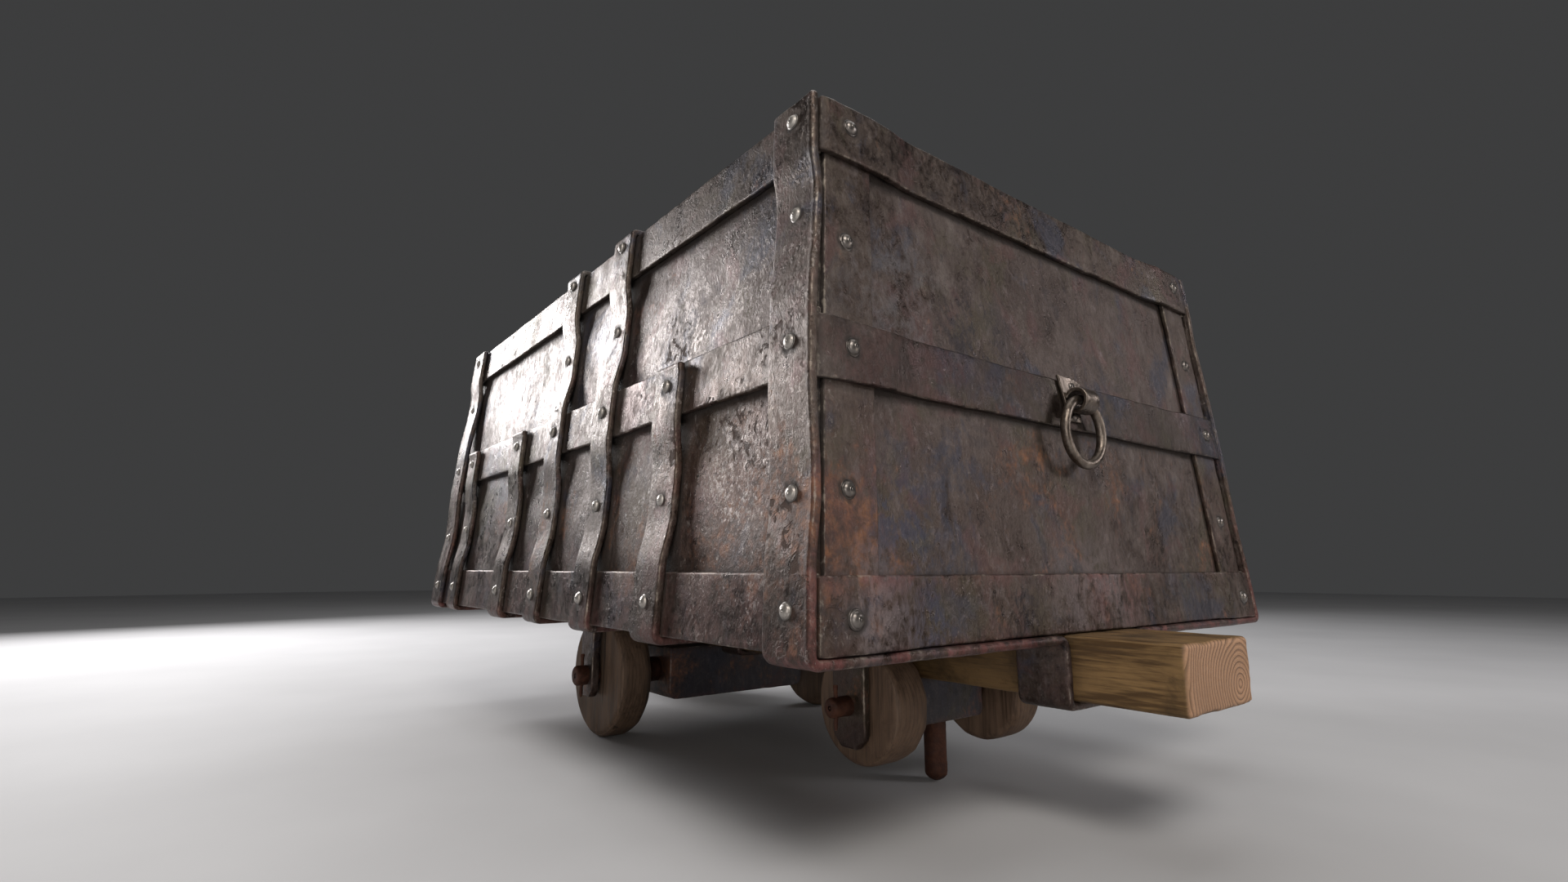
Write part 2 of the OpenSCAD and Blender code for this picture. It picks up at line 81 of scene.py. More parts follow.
def vnoise(q, seed):
    f0 = np.floor(q)
    i, j, k = (f0[:, n].astype(np.int64) for n in range(3))
    f = q - f0
    u = f * f * f * (f * (f * 6 - 15) + 10)
    out = 0.0
    for a in (0, 1):
        wa = u[:, 0] if a else 1 - u[:, 0]
        for b in (0, 1):
            wb = u[:, 1] if b else 1 - u[:, 1]
            for c in (0, 1):
                wc = u[:, 2] if c else 1 - u[:, 2]
                out = out + wa * wb * wc * _hash(i + a, j + b, k + c, seed)
    return 2 * out - 1


def fbm(P, size, seed, octaves=3, gain=0.5):
    """Smooth noise from about -1 to 1 with features of the given size, at points P in mm."""
    out, amp, total = 0.0, 1.0, 0.0
    q = np.asarray(P, float) / size
    for o in range(octaves):
        out = out + amp * vnoise(q + 17.3 * o, seed + 101 * o)
        total += amp
        amp *= gain
        q = q * 2.03
    return out / total


def rnd(seed, n):
    return np.random.RandomState(seed).rand(n)


# ---------------------------------------------------------------- mesh building
class Geo:
    """Collects closed shells for one object: points in mm, quads, triangles and per-point values."""

    # the third per-point value is painted shade, with some dirt, which the materials darken by
    KEYS = ("edge", "red", "grime", "tone")

    def __init__(self):
        self.v, self.q, self.t, self.n = [], [], [], 0
        self.a = {k: [] for k in self.KEYS}

    def add(self, v, q=None, t=None, **attrs):
        v = np.asarray(v, float)
        q = np.zeros((0, 4), int) if q is None else np.asarray(q, int)
        t = np.zeros((0, 3), int) if t is None else np.asarray(t, int)
        c = v.mean(0)
        w = v - c
        vol = 0.0
        if len(q):
            a, b, cc, d = (w[q[:, i]] for i in range(4))
            vol += np.einsum("ij,ij->i", a, np.cross(b, cc)).sum() + np.einsum("ij,ij->i", a, np.cross(cc, d)).sum()
        if len(t):
            a, b, cc = (w[t[:, i]] for i in range(3))
            vol += np.einsum("ij,ij->i", a, np.cross(b, cc)).sum()
        if vol < 0:
            q, t = q[:, ::-1], t[:, ::-1]
        self.q.append(q + self.n)
        self.t.append(t + self.n)
        self.v.append(v)
        for k in self.KEYS:
            x = attrs.get(k, 0.0)
            self.a[k].append(np.broadcast_to(np.asarray(x, float), (len(v),)))
        self.n += len(v)
        return self

    def build(self, name, body, mat, slot, *nodes):
        v = np.concatenate(self.v) * 0.001
        q, t = np.concatenate(self.q), np.concatenate(self.t)
        me = bpy.data.meshes.new(name)
        me.vertices.add(len(v))
        me.vertices.foreach_set("co", v.astype(np.float32).ravel())
        loops = np.concatenate([q.ravel(), t.ravel()]).astype(np.int32)
        me.loops.add(len(loops))
        me.loops.foreach_set("vertex_index", loops)
        starts = np.concatenate([np.arange(len(q)) * 4, len(q) * 4 + np.arange(len(t)) * 3]).astype(np.int32)
        me.polygons.add(len(starts))
        me.polygons.foreach_set("loop_start", starts)
        me.update(calc_edges=True)
        me.validate()
        me.polygons.foreach_set("use_smooth", np.ones(len(me.polygons), bool))
        for k in self.KEYS:
            at = me.attributes.new(k, "FLOAT", "POINT")
            at.data.foreach_set("value", np.concatenate(self.a[k]).astype(np.float32))
        me.update()
        me.materials.append(mat)
        ob = bpy.data.objects.new(name, me)
        bpy.context.scene.collection.objects.link(ob)
        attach(ob, body)
        if nodes:
            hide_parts(*nodes)
        return ob


def axis(lo, hi, r, inner):
    t = r * np.tan(np.radians([0, 15, 30, 45]))
    a, b = lo + r, hi - r
    if np.ndim(inner):
        mid = np.asarray(inner, float)
        mid = mid[(mid > a + 0.05) & (mid < b - 0.05)]
    else:
        n = max(1, int(round((b - a) / inner)))
        mid = np.linspace(a, b, n + 1)[1:-1]
    return np.concatenate([a - t[::-1], mid, b + t])


def grid(ix, flip=False):
    q = np.stack([ix[:-1, :-1], ix[1:, :-1], ix[1:, 1:], ix[:-1, 1:]], -1).reshape(-1, 4)
    return q[:, ::-1] if flip else q


def slab(S, A, H, r):
    """A block with rounded edges as a closed grid. Each of S, A and H is (low, high, spacing or positions).
    Returns the three coordinates of its points, each point's distance to the nearest edge, and its quads."""
    ax = [axis(p[0], p[1], r, p[2]) for p in (S, A, H)]
    n = [len(p) for p in ax]
    m = np.zeros(n, bool)
    for d in range(3):
        sl = [slice(None)] * 3
        for e in (0, -1):
            sl[d] = e
            m[tuple(sl)] = True
    idx = np.full(n, -1)
    idx[m] = np.arange(m.sum())
    ii, jj, kk = np.nonzero(m)
    q = np.stack([ax[0][ii], ax[1][jj], ax[2][kk]], 1)
    lo = np.array([S[0], A[0], H[0]], float)
    hi = np.array([S[1], A[1], H[1]], float)
    c = np.clip(q, lo + r, hi - r)
    d = q - c
    p = c + d * (r / np.linalg.norm(d, axis=1))[:, None]
    d2 = np.sort(np.minimum(q - lo, hi - q), axis=1)[:, 1]
    faces = np.concatenate([
        grid(idx[:, :, -1]), grid(idx[:, :, 0], True),
        grid(idx[-1, :, :]), grid(idx[0, :, :], True),
        grid(idx[:, -1, :], True), grid(idx[:, 0, :]),
    ])
    return p[:, 0], p[:, 1], p[:, 2], d2, faces


def line(s, size, seed):
    z = np.zeros_like(s)
    return fbm(np.stack([s, z + 3.1, z], 1), size, seed, 3)


def forged(geo, S, A, H, r, place, seed, face=0.45, edge=0.9, dents=None, proud=True, lip=None, **attrs):
    """A hammered iron plate or strap: its edges wander, its outer face is uneven, and it takes dents."""
    s, a, h, d2, q = slab(S, A, H, r)
    P = place(s, a, h)
    mid, half = (A[0] + A[1]) / 2, (A[1] - A[0]) / 2
    u = (a - mid) / half
    w = np.exp(-np.maximum(half - np.abs(a - mid), 0) / 9.0)
    up = u > 0
    wander = np.where(up, line(s, 70, seed) * 0.7 + line(s, 17, seed + 1) * 0.4,
                      line(s, 70, seed + 2) * 0.7 + line(s, 17, seed + 3) * 0.4)
    a2 = a + edge * w * np.sign(u) * (wander - (0.0 if proud else 0.9))
    top = np.clip((h - H[0]) / (H[1] - H[0]), 0, 1)
    bump = fbm(P, 46, seed + 5, 2) * 0.75 + fbm(P, 15, seed + 6, 2) * 0.4
    soft = np.exp(-d2 / 3.0)
    nick = -np.maximum(fbm(P, 9, seed + 8, 2) - 0.15, 0) * 1.6 * soft
    h2 = h + top * (face * (bump if proud else bump - 1.0) + nick)
    if lip is not None:
        h2 = h2 + lip(s, a)
    if dents is not None:
        h2 = h2 - dents(P)
    V = place(s, a2, h2)
    e = np.clip(1 - d2 / 7.0, 0, 1)
    extra = {k: (f(V) if callable(f) else f) for k, f in attrs.items()}
    geo.add(V, q, edge=e, **extra)
    return geo


def lathe(profile, n, tris=True):
    """Turns a profile of (radius, along) pairs. Closed profiles have no point on the axis."""
    pr = np.asarray(profile, float)
    th = np.arange(n) * 2 * math.pi / n
    poles = pr[0, 0] == 0 and pr[-1, 0] == 0
    body = pr[1:-1] if poles else pr
    m = len(body)
    R = np.repeat(body[:, 0], n)
    T = np.repeat(body[:, 1], n)
    TH = np.tile(th, m)
    ix = np.arange(m * n).reshape(m, n)
    wrapped = np.concatenate([ix, ix[:, :1]], 1)
    if not poles:
        wrapped = np.concatenate([wrapped, wrapped[:1]], 0)
        return R, T, TH, grid(wrapped), np.zeros((0, 3), int)
    q = grid(wrapped)
    a, b = m * n, m * n + 1
    j = np.arange(n)
    k = (j + 1) % n
    first = np.stack([np.full(n, a), ix[0, j], ix[0, k]], 1)
    last = np.stack([np.full(n, b), ix[-1, k], ix[-1, j]], 1)
    # rows run along the profile, so the fan's turn is the opposite of the first row's quads
    t = np.concatenate([first[:, [0, 2, 1]], last[:, [0, 2, 1]]])
    R = np.concatenate([R, [0, 0]])
    T = np.concatenate([T, [pr[0, 1], pr[-1, 1]]])
    TH = np.concatenate([TH, [0, 0]])
    return R, T, TH, q, t


def arc(cr, ct, r, a0, a1, n):
    a = np.radians(np.linspace(a0, a1, n))
    return [(cr + r * math.cos(x), ct + r * math.sin(x)) for x in a]


def fan(profile, size):
    """Adds points to a profile so that no step is longer than size."""
    out = [profile[0]]
    for a, b in zip(profile[:-1], profile[1:]):
        d = math.hypot(b[0] - a[0], b[1] - a[1])
        n = max(1, int(math.ceil(d / size)))
        out += [(a[0] + (b[0] - a[0]) * i / n, a[1] + (b[1] - a[1]) * i / n) for i in range(1, n + 1)]
    return out


# ---------------------------------------------------------------- node materials
class Mat:
    def __init__(self, name):
        self.m = bpy.data.materials.new(name)
        self.m.use_nodes = True
        self.t = self.m.node_tree
        self.t.nodes.clear()
        self.out = self.t.nodes.new("ShaderNodeOutputMaterial")
        self.b = self.t.nodes.new("ShaderNodeBsdfPrincipled")
        self.t.links.new(self.b.outputs[0], self.out.inputs[0])
        self.P = self.t.nodes.new("ShaderNodeTexCoord").outputs["Object"]

    def put(self, sock, val):
        if isinstance(val, bpy.types.NodeSocket):
            self.t.links.new(val, sock)
        else:
            sock.default_value = val

    def math(self, op, a, b=0.0, c=0.0, clamp=False):
        n = self.t.nodes.new("ShaderNodeMath")
        n.operation, n.use_clamp = op, clamp
        for s, v in zip(n.inputs, (a, b, c)):
            self.put(s, v)
        return n.outputs[0]

    def add(self, *xs):
        out = xs[0]
        for x in xs[1:]:
            out = self.math("ADD", out, x)
        return out

    def mul(self, a, b):
        return self.math("MULTIPLY", a, b)

    def scale(self, v, sx, sy, sz, off=(0, 0, 0), rot=(0, 0, 0)):
        n = self.t.nodes.new("ShaderNodeMapping")
        self.put(n.inputs["Vector"], v)
        n.inputs["Scale"].default_value = (sx, sy, sz)
        n.inputs["Location"].default_value = off
        n.inputs["Rotation"].default_value = rot
        return n.outputs[0]

    def noise(self, scale, detail=4.0, rough=0.55, dist=0.0, v=None, out=0):
        n = self.t.nodes.new("ShaderNodeTexNoise")
        self.put(n.inputs["Vector"], self.P if v is None else v)
        n.inputs["Scale"].default_value = scale
        n.inputs["Detail"].default_value = detail
        n.inputs["Roughness"].default_value = rough
        n.inputs["Distortion"].default_value = dist
        return n.outputs[out]

    def cells(self, scale, v=None, feature="SMOOTH_F1", smooth=0.6, rand=1.0):
        n = self.t.nodes.new("ShaderNodeTexVoronoi")
        n.feature = feature
        self.put(n.inputs["Vector"], self.P if v is None else v)
        n.inputs["Scale"].default_value = scale
        n.inputs["Randomness"].default_value = rand
        if feature == "SMOOTH_F1":
            n.inputs["Smoothness"].default_value = smooth
        return n.outputs["Distance"]

    def near(self, at, rad):
        """1 around a place, fading to 0 at about 1.5 rad from it."""
        n = self.t.nodes.new("ShaderNodeVectorMath")
        n.operation = "DISTANCE"
        self.put(n.inputs[0], self.P)
        n.inputs[1].default_value = at
        return self.step(n.outputs["Value"], rad * 1.5, rad * 0.3)

    def warp(self, v, scale, amount):
        """The vector v pushed about by noise."""
        n = self.t.nodes.new("ShaderNodeVectorMath")
        n.operation = "SUBTRACT"
        self.put(n.inputs[0], self.noise(scale, 3.0, 0.5, v=v, out=1))
        n.inputs[1].default_value = (0.5, 0.5, 0.5)
        s = self.t.nodes.new("ShaderNodeVectorMath")
        s.operation = "SCALE"
        self.put(s.inputs[0], n.outputs[0])
        s.inputs["Scale"].default_value = amount
        a = self.t.nodes.new("ShaderNodeVectorMath")
        a.operation = "ADD"
        self.put(a.inputs[0], v)
        self.put(a.inputs[1], s.outputs[0])
        return a.outputs[0]

    def step(self, x, a, b, lo=0.0, hi=1.0):
        n = self.t.nodes.new("ShaderNodeMapRange")
        n.interpolation_type = "SMOOTHSTEP"
        self.put(n.inputs[0], x)
        for i, v in zip((1, 2, 3, 4), (a, b, lo, hi)):
            n.inputs[i].default_value = v
        return n.outputs[0]

    def ramp(self, x, stops):
        n = self.t.nodes.new("ShaderNodeValToRGB")
        el = n.color_ramp.elements
        while len(el) > 1:
            el.remove(el[-1])
        for i, (p, c) in enumerate(stops):
            e = el[0] if i == 0 else el.new(p)
            e.position = p
            e.color = (*c, 1)
        self.put(n.inputs[0], x)
        return n.outputs[0]

    def mix(self, f, a, b, mode="MIX"):
        n = self.t.nodes.new("ShaderNodeMix")
        n.data_type = "RGBA"
        n.blend_type = mode
        self.put(n.inputs[0], f)
        for s, v in ((n.inputs[6], a), (n.inputs[7], b)):
            self.put(s, (*v, 1) if isinstance(v, tuple) and len(v) == 3 else v)
        return n.outputs[2]

    def mixf(self, f, a, b):
        n = self.t.nodes.new("ShaderNodeMix")
        n.data_type = "FLOAT"
        self.put(n.inputs[0], f)
        self.put(n.inputs[2], a)
        self.put(n.inputs[3], b)
        return n.outputs[0]

    def attr(self, name):
        n = self.t.nodes.new("ShaderNodeAttribute")
        n.attribute_type = "GEOMETRY"
        n.attribute_name = name
        return n.outputs["Fac"]

    def axes(self, v=None):
        n = self.t.nodes.new("ShaderNodeSeparateXYZ")
        self.put(n.inputs[0], self.P if v is None else v)
        return n.outputs

    def bump(self, height, dist, strength=1.0, normal=None):
        n = self.t.nodes.new("ShaderNodeBump")
        self.put(n.inputs["Height"], height)
        n.inputs["Distance"].default_value = dist
        n.inputs["Strength"].default_value = strength
        if normal is not None:
            self.put(n.inputs["Normal"], normal)
        return n.outputs[0]

    def done(self, color, rough, metal, normal, spec=0.5, coat=0.0, coat_rough=0.3):
        self.put(self.b.inputs["Base Color"], color)
        self.put(self.b.inputs["Roughness"], rough)
        self.put(self.b.inputs["Metallic"], metal)
        self.put(self.b.inputs["Normal"], normal)
        self.b.inputs["Specular IOR Level"].default_value = spec
        self.b.inputs["Coat Weight"].default_value = coat
        self.b.inputs["Coat Roughness"].default_value = coat_rough
        return self.m


def iron(name, base, rough=(0.30, 0.60), rust=0.30, relief=1.0, stretch=0.72, metal=0.78, shine=0.5, low=0.0, seed=0.0, bright=1.0, glint=1.0, flakes=1.0):
    """Old hammered sheet or strap iron: blotched scale, rust, red oxide on marked parts, worn bright edges."""
    m = Mat(name)
    P = m.scale(m.P, 1, 1, 1, off=(seed, seed * 0.7, seed * 1.3))
    V = m.scale(P, 1, 1, stretch)
    z = m.axes()[2]
    lowz = m.step(z, 0.62, 0.24)
    big = m.noise(6.0, 5, 0.60, 0.5, v=P)
    mid = m.noise(30, 6, 0.64, 0.4, v=V)
    fine = m.noise(150, 5, 0.64, 0.3, v=V)
    # short strokes left by the hammer, running roughly upright
    skin = m.noise(250, 5, 0.64, 0.7, v=m.warp(m.scale(P, 1, 1, 0.62), 42, 0.010))
    grain = m.noise(560, 4, 0.66, 0.3, v=m.scale(P, 1, 1, 0.7))
    streak = m.noise(85, 4, 0.6, 0.4, v=m.scale(P, 1, 1, 0.13))
    side = m.step(m.math("ABSOLUTE", m.axes()[1]), 0.362, 0.374)
    zone = m.step(m.add(m.noise(5.2, 5, 0.62, 0.4, v=m.scale(P, 1, 1, 0.8, off=(4.4, 7.7, 1.1))), m.mul(m.near((0.40, -0.41, 0.40), 0.13), 0.14), m.mul(lowz, 0.03)), 0.50, 0.66)
    zone = m.mul(zone, m.add(0.25, m.mul(side, 0.75)))
    lit = m.near((0.42, -0.41, 0.37), 0.12)
    mottle = m.add(m.mul(big, 0.34), m.mul(mid, 0.40), m.mul(fine, 0.26))
    c = m.ramp(mottle, base)

    def patch(c, scale, off, lo, hi, amount, col, only=1.0):
        k = m.step(m.add(m.mul(m.noise(scale, 7, 0.66, 0.6, v=m.scale(P, 1, 1, 0.85, off=off)), 0.82), m.mul(fine, 0.18)), lo, hi)
        return m.mix(m.mul(m.mul(k, only), amount), c, tuple(x * bright for x in col))

    c = patch(c, 9.5, (3.1, 1.7, 0.4), 0.51, 0.60, 0.70, (0.052, 0.057, 0.080), m.step(lit, 0.0, 1.0, 1.0, 0.2))
    c = patch(c, 16.0, (1.1, 4.7, 3.4), 0.45, 0.57, 0.60, (0.128, 0.072, 0.052), lit)
    c = patch(c, 8.0, (8.1, 2.3, 5.2), 0.52, 0.62, 0.55, (0.082, 0.070, 0.044))
    c = patch(c, 13.0, (2.2, 6.4, 7.9), 0.52, 0.62, 0.55, (0.122, 0.066, 0.062))
    c = patch(c, 18.0, (6.0, 3.3, 2.8), 0.55, 0.66, 0.45, (0.036, 0.034, 0.042))
    c = m.mix(m.step(streak, 0.50, 0.78, 0.0, 0.20), c, tuple(x * bright for x in (0.21, 0.175, 0.155)))
    c = m.mix(m.step(streak, 0.45, 0.25, 0.0, 0.22), c, tuple(x * bright for x in (0.030, 0.022, 0.019)))
    # the ends keep a finer mottling of scale
    sc = m.noise(62, 8, 0.76, 0.5, v=m.scale(P, 1, 1, 0.8, off=(7.3, 0.9, 2.2)))
    flat = m.math("SUBTRACT", 1.0, side)
    c = m.mix(m.mul(m.mul(m.step(sc, 0.53, 0.66), flat), 0.42), c, tuple(x * bright for x in (0.185, 0.155, 0.152)))
    c = m.mix(m.mul(m.mul(m.step(sc, 0.47, 0.35), flat), 0.42), c, tuple(x * bright for x in (0.040, 0.031, 0.034)))
    # rust, more of it towards the lower edge and at the front right corner's foot
    hot = m.add(m.mul(m.near((0.585, -0.375, 0.300), 0.042), 0.12), m.mul(m.near((0.56, -0.42, 0.290), 0.09), 0.125), m.mul(m.near((0.58, -0.28, 0.31), 0.055), 0.05), m.mul(m.near((-0.152, -0.143, 0.10), 0.06), 0.22), m.mul(m.near((0.25, -0.40, 0.30), 0.07), 0.07), m.mul(m.near((-0.06, -0.40, 0.31), 0.06), 0.06))
    rn = m.add(m.mul(m.noise(10.0, 8, 0.70, 0.7, v=m.scale(P, 1, 1, 0.85, off=(1.3, 9.2, 4.4))), 0.72), m.mul(fine, 0.28))
    rm = m.step(m.add(rn, m.mul(lowz, 0.045 + low), hot), 0.64 - 0.22 * rust, 0.75 - 0.22 * rust)
    rc = m.ramp(m.noise(70, 6, 0.65, 0.3, v=P), [(0.32, (0.030, 0.015, 0.010)), (0.45, (0.070, 0.031, 0.018)), (0.56, (0.155, 0.062, 0.027)), (0.70, (0.30, 0.128, 0.052))])
    c = m.mix(m.mul(rm, 0.80), c, rc)
    # blue scale and dark stains on the end sheet, either side of the middle band
    broke = m.add(m.mul(m.noise(26, 6, 0.68, 0.6, v=m.scale(P, 1, 1, 0.9, off=(2, 8, 3))), 0.6), m.mul(fine, 0.4))
    # painted highlight: a pale bluish patch on the upper left of the front end sheet
    pale_highlight = m.mul(m.step(broke, 0.47, 0.60), m.near((0.566, -0.27, 0.535), 0.075))
    c = m.mix(m.mul(pale_highlight, 0.45), c, (0.150, 0.148, 0.158))
    dark = m.mul(m.step(broke, 0.53, 0.42), m.math("MAXIMUM", m.near((0.567, -0.15, 0.510), 0.062), m.near((0.59, -0.15, 0.228), 0.038)))
    c = m.mix(m.mul(dark, 0.75), c, (0.026, 0.025, 0.032))
    blu = m.mul(m.step(broke, 0.46, 0.57), m.math("MAXIMUM", m.near((0.591, -0.275, 0.220), 0.045), m.near((0.583, -0.29, 0.31), 0.055)))
    c = m.mix(m.mul(blu, 0.6), c, (0.052, 0.060, 0.100))
    stain = m.mul(m.step(broke, 0.44, 0.55), m.math("MAXIMUM", m.near((0.415, -0.385, 0.415), 0.055), m.near((0.245, -0.395, 0.33), 0.050)))
    c = m.mix(m.mul(stain, 0.70), c, (0.066, 0.041, 0.022))
    ash = m.mul(m.step(broke, 0.42, 0.56), m.math("MAXIMUM", m.near((0.592, -0.34, 0.235), 0.050), m.near((0.592, 0.0, 0.225), 0.085)))
    c = m.mix(m.mul(ash, 0.72), c, (0.175, 0.145, 0.147))
    # the sides get darker towards the foot of the cart
    foot = m.step(m.add(z, m.mul(m.math("SUBTRACT", mid, 0.5), 0.10)), 0.33, 0.235)
    c = m.mix(m.mul(m.mul(foot, side), 0.9), c, m.mix(1.0, c, (0.66, 0.60, 0.57), "MULTIPLY"))
    # red oxide paint left on marked parts
    red = m.mul(m.attr("red"), m.step(m.add(m.noise(24, 7, 0.68, 0.6, v=V), m.mul(fine, 0.35)), 0.60, 0.76, 0.12, 1.0))
    c = m.mix(m.mul(red, 0.85), c, m.ramp(m.add(m.mul(mid, 0.5), m.mul(fine, 0.5)), [(0.32, (0.050, 0.018, 0.018)), (0.50, (0.125, 0.036, 0.032)), (0.62, (0.175, 0.060, 0.055)), (0.8, (0.20, 0.11, 0.11))]))
    # high and low points of the skin
    both = m.add(m.mul(skin, 0.6), m.mul(grain, 0.4))
    pk = m.step(both, 0.52, 0.68)
    c = m.mix(m.mul(pk, m.add(0.21, m.mul(zone, 0.26))), c, tuple(x * bright for x in (0.30, 0.255, 0.235)))
    vl = m.step(both, 0.47, 0.34)
    c = m.mix(m.mul(vl, m.add(0.30, m.mul(zone, 0.30))), c, (0.024, 0.015, 0.011))
    # bare flakes and pits
    where = m.add(m.mul(m.noise(21, 5, 0.65, 0.7, v=m.scale(P, 1, 1, 0.8, off=(9, 2, 6))), 0.38), m.mul(m.noise(230, 6, 0.78, 0.3, v=m.scale(P, 1, 1, 0.75)), 0.62),
                  m.mul(lowz, -0.020), m.mul(m.near((0.46, -0.41, 0.370), 0.070), 0.050), m.mul(m.near((0.31, -0.38, 0.55), 0.10), 0.046), m.mul(m.near((0.565, -0.41, 0.385), 0.055), 0.035))
    fl = m.mul(m.mul(m.step(where, 0.545, 0.600), side), 0.75 * flakes)
    c = m.mix(fl, c, (0.33, 0.290, 0.270))
    pit = m.noise(75, 4, 0.6, 0.6, v=m.scale(P, 1, 1, 1, off=(5, 5, 5)))
    pits = m.mul(m.step(pit, 0.455, 0.405), m.step(m.add(m.noise(9, 5, 0.65, v=m.scale(P, 1, 1, 1, off=(5, 5, 5))), m.mul(m.near((0.415, -0.40, 0.40), 0.075), 0.20), m.mul(m.near((0.27, -0.38, 0.53), 0.06), 0.12)), 0.56, 0.64))
    pits = m.mul(pits, side)
    c = m.mix(m.mul(pits, 0.90), c, (0.046, 0.023, 0.014))
    # painted shade, with some dirt, in corners and round rivets: darker, rougher and less metallic where shade falls
    shade_dirt = m.attr("grime")
    c = m.mix(m.mul(m.step(m.add(shade_dirt, m.mul(m.math("SUBTRACT", fine, 0.5), 0.8)), 0.15, 0.85), 0.82), c, (0.020, 0.0135, 0.010))
    # worn edges
    e = m.attr("edge")
    ew = m.step(m.add(e, m.mul(m.math("SUBTRACT", fine, 0.5), 1.5), m.mul(m.math("SUBTRACT", mid, 0.5), 1.3)), 0.84, 1.26)
    ew = m.mul(ew, m.math("SUBTRACT", 1.0, m.mul(red, 0.7)))
    c = m.mix(m.mul(ew, 0.6), c, (0.36, 0.31, 0.255))
    c = m.mix(m.attr("tone"), c, m.mix(1.0, c, (0.42, 0.42, 0.46), "MULTIPLY"))
    rgh = m.add(m.step(mottle, 0.40, 0.60, rough[0], rough[1]), m.mul(m.math("SUBTRACT", fine, 0.5), 0.30), m.mul(zone, -0.08 * glint), m.mul(pk, -0.06 * glint), m.mul(vl, 0.12))
    rgh = m.mixf(m.mul(rm, 0.7), rgh, 0.58)
    rgh = m.mixf(m.mul(red, 0.8), rgh, 0.50)
    rgh = m.mixf(m.mul(stain, 0.5), rgh, 0.62)
    rgh = m.mixf(m.mul(pits, 0.9), rgh, 0.86)
    rgh = m.mixf(m.mul(fl, 0.8), rgh, 0.26)
    rgh = m.mixf(m.mul(ew, 0.8), rgh, 0.27)
    rgh = m.mixf(m.mul(shade_dirt, 0.85), rgh, 0.88)
    rgh = m.math("MAXIMUM", rgh, 0.18)
    mt = m.math("SUBTRACT", metal, m.add(m.mul(rm, 0.45), m.mul(stain, 0.25), m.mul(red, 0.40), m.mul(shade_dirt, 0.85), m.mul(pits, 0.8)), clamp=True)
    # relief: broad unevenness, dents, strokes, grain, flakes and pits
    za = m.add(0.66, m.mul(zone, 0.36))
    n = m.bump(m.noise(15, 3, 0.5, 0.5, v=V), 0.0032 * relief, 0.5)
    n = m.bump(m.noise(55, 4, 0.55, 0.8, v=V), 0.0013 * relief, 0.5, n)
    n = m.bump(m.mul(skin, za), 0.00135 * relief, 0.9, n)
    n = m.bump(m.mul(grain, za), 0.00075 * relief, 0.9, n)
    n = m.bump(m.math("SUBTRACT", 1.0, pits), 0.0011, 0.7, n)
    n = m.bump(fl, 0.0004, 0.8, n)
    n = m.bump(m.noise(900, 2, 0.6, v=V), 0.00010, 0.6, n)
    return m.done(c, rgh, mt, n, spec=shine)


def rusty(name, cols, rough=(0.5, 0.8), metal=0.45, relief=1.0, edge_c=(0.30, 0.19, 0.13), ew_amt=0.5):
    m = Mat(name)
    P = m.P
    a = m.noise(28, 6, 0.65, 0.4, v=P)
    b = m.noise(130, 5, 0.65, 0.2, v=P)
    g = m.noise(480, 3, 0.6, v=P)
    c = m.ramp(m.add(m.mul(a, 0.6), m.mul(b, 0.4)), cols)
    c = m.mix(m.step(g, 0.55, 0.75, 0.0, 0.35), c, (0.02, 0.012, 0.010))
    e = m.step(m.add(m.attr("edge"), m.mul(m.math("SUBTRACT", b, 0.5), 1.6)), 0.80, 1.3)
    c = m.mix(m.mul(e, ew_amt), c, edge_c)
    # painted shade, with some dirt: darker in creases and where other parts cover this one
    shade_dirt = m.attr("grime")
    c = m.mix(m.mul(shade_dirt, 0.7), c, (0.014, 0.010, 0.009))
    r = m.add(m.step(a, 0.35, 0.65, rough[0], rough[1]), m.mul(m.math("SUBTRACT", b, 0.5), 0.3))
    r = m.mixf(m.mul(e, 0.6), r, 0.34)
    mt = m.add(metal, m.mul(e, 0.3))
    n = m.bump(a, 0.0022 * relief, 0.5)
    n = m.bump(m.cells(170, v=m.warp(P, 60, 0.02)), 0.0009 * relief, 0.5, n)
    n = m.bump(b, 0.0009 * relief, 0.6, n)
    n = m.bump(g, 0.0003 * relief, 0.6, n)
    return m.done(c, r, mt, n)


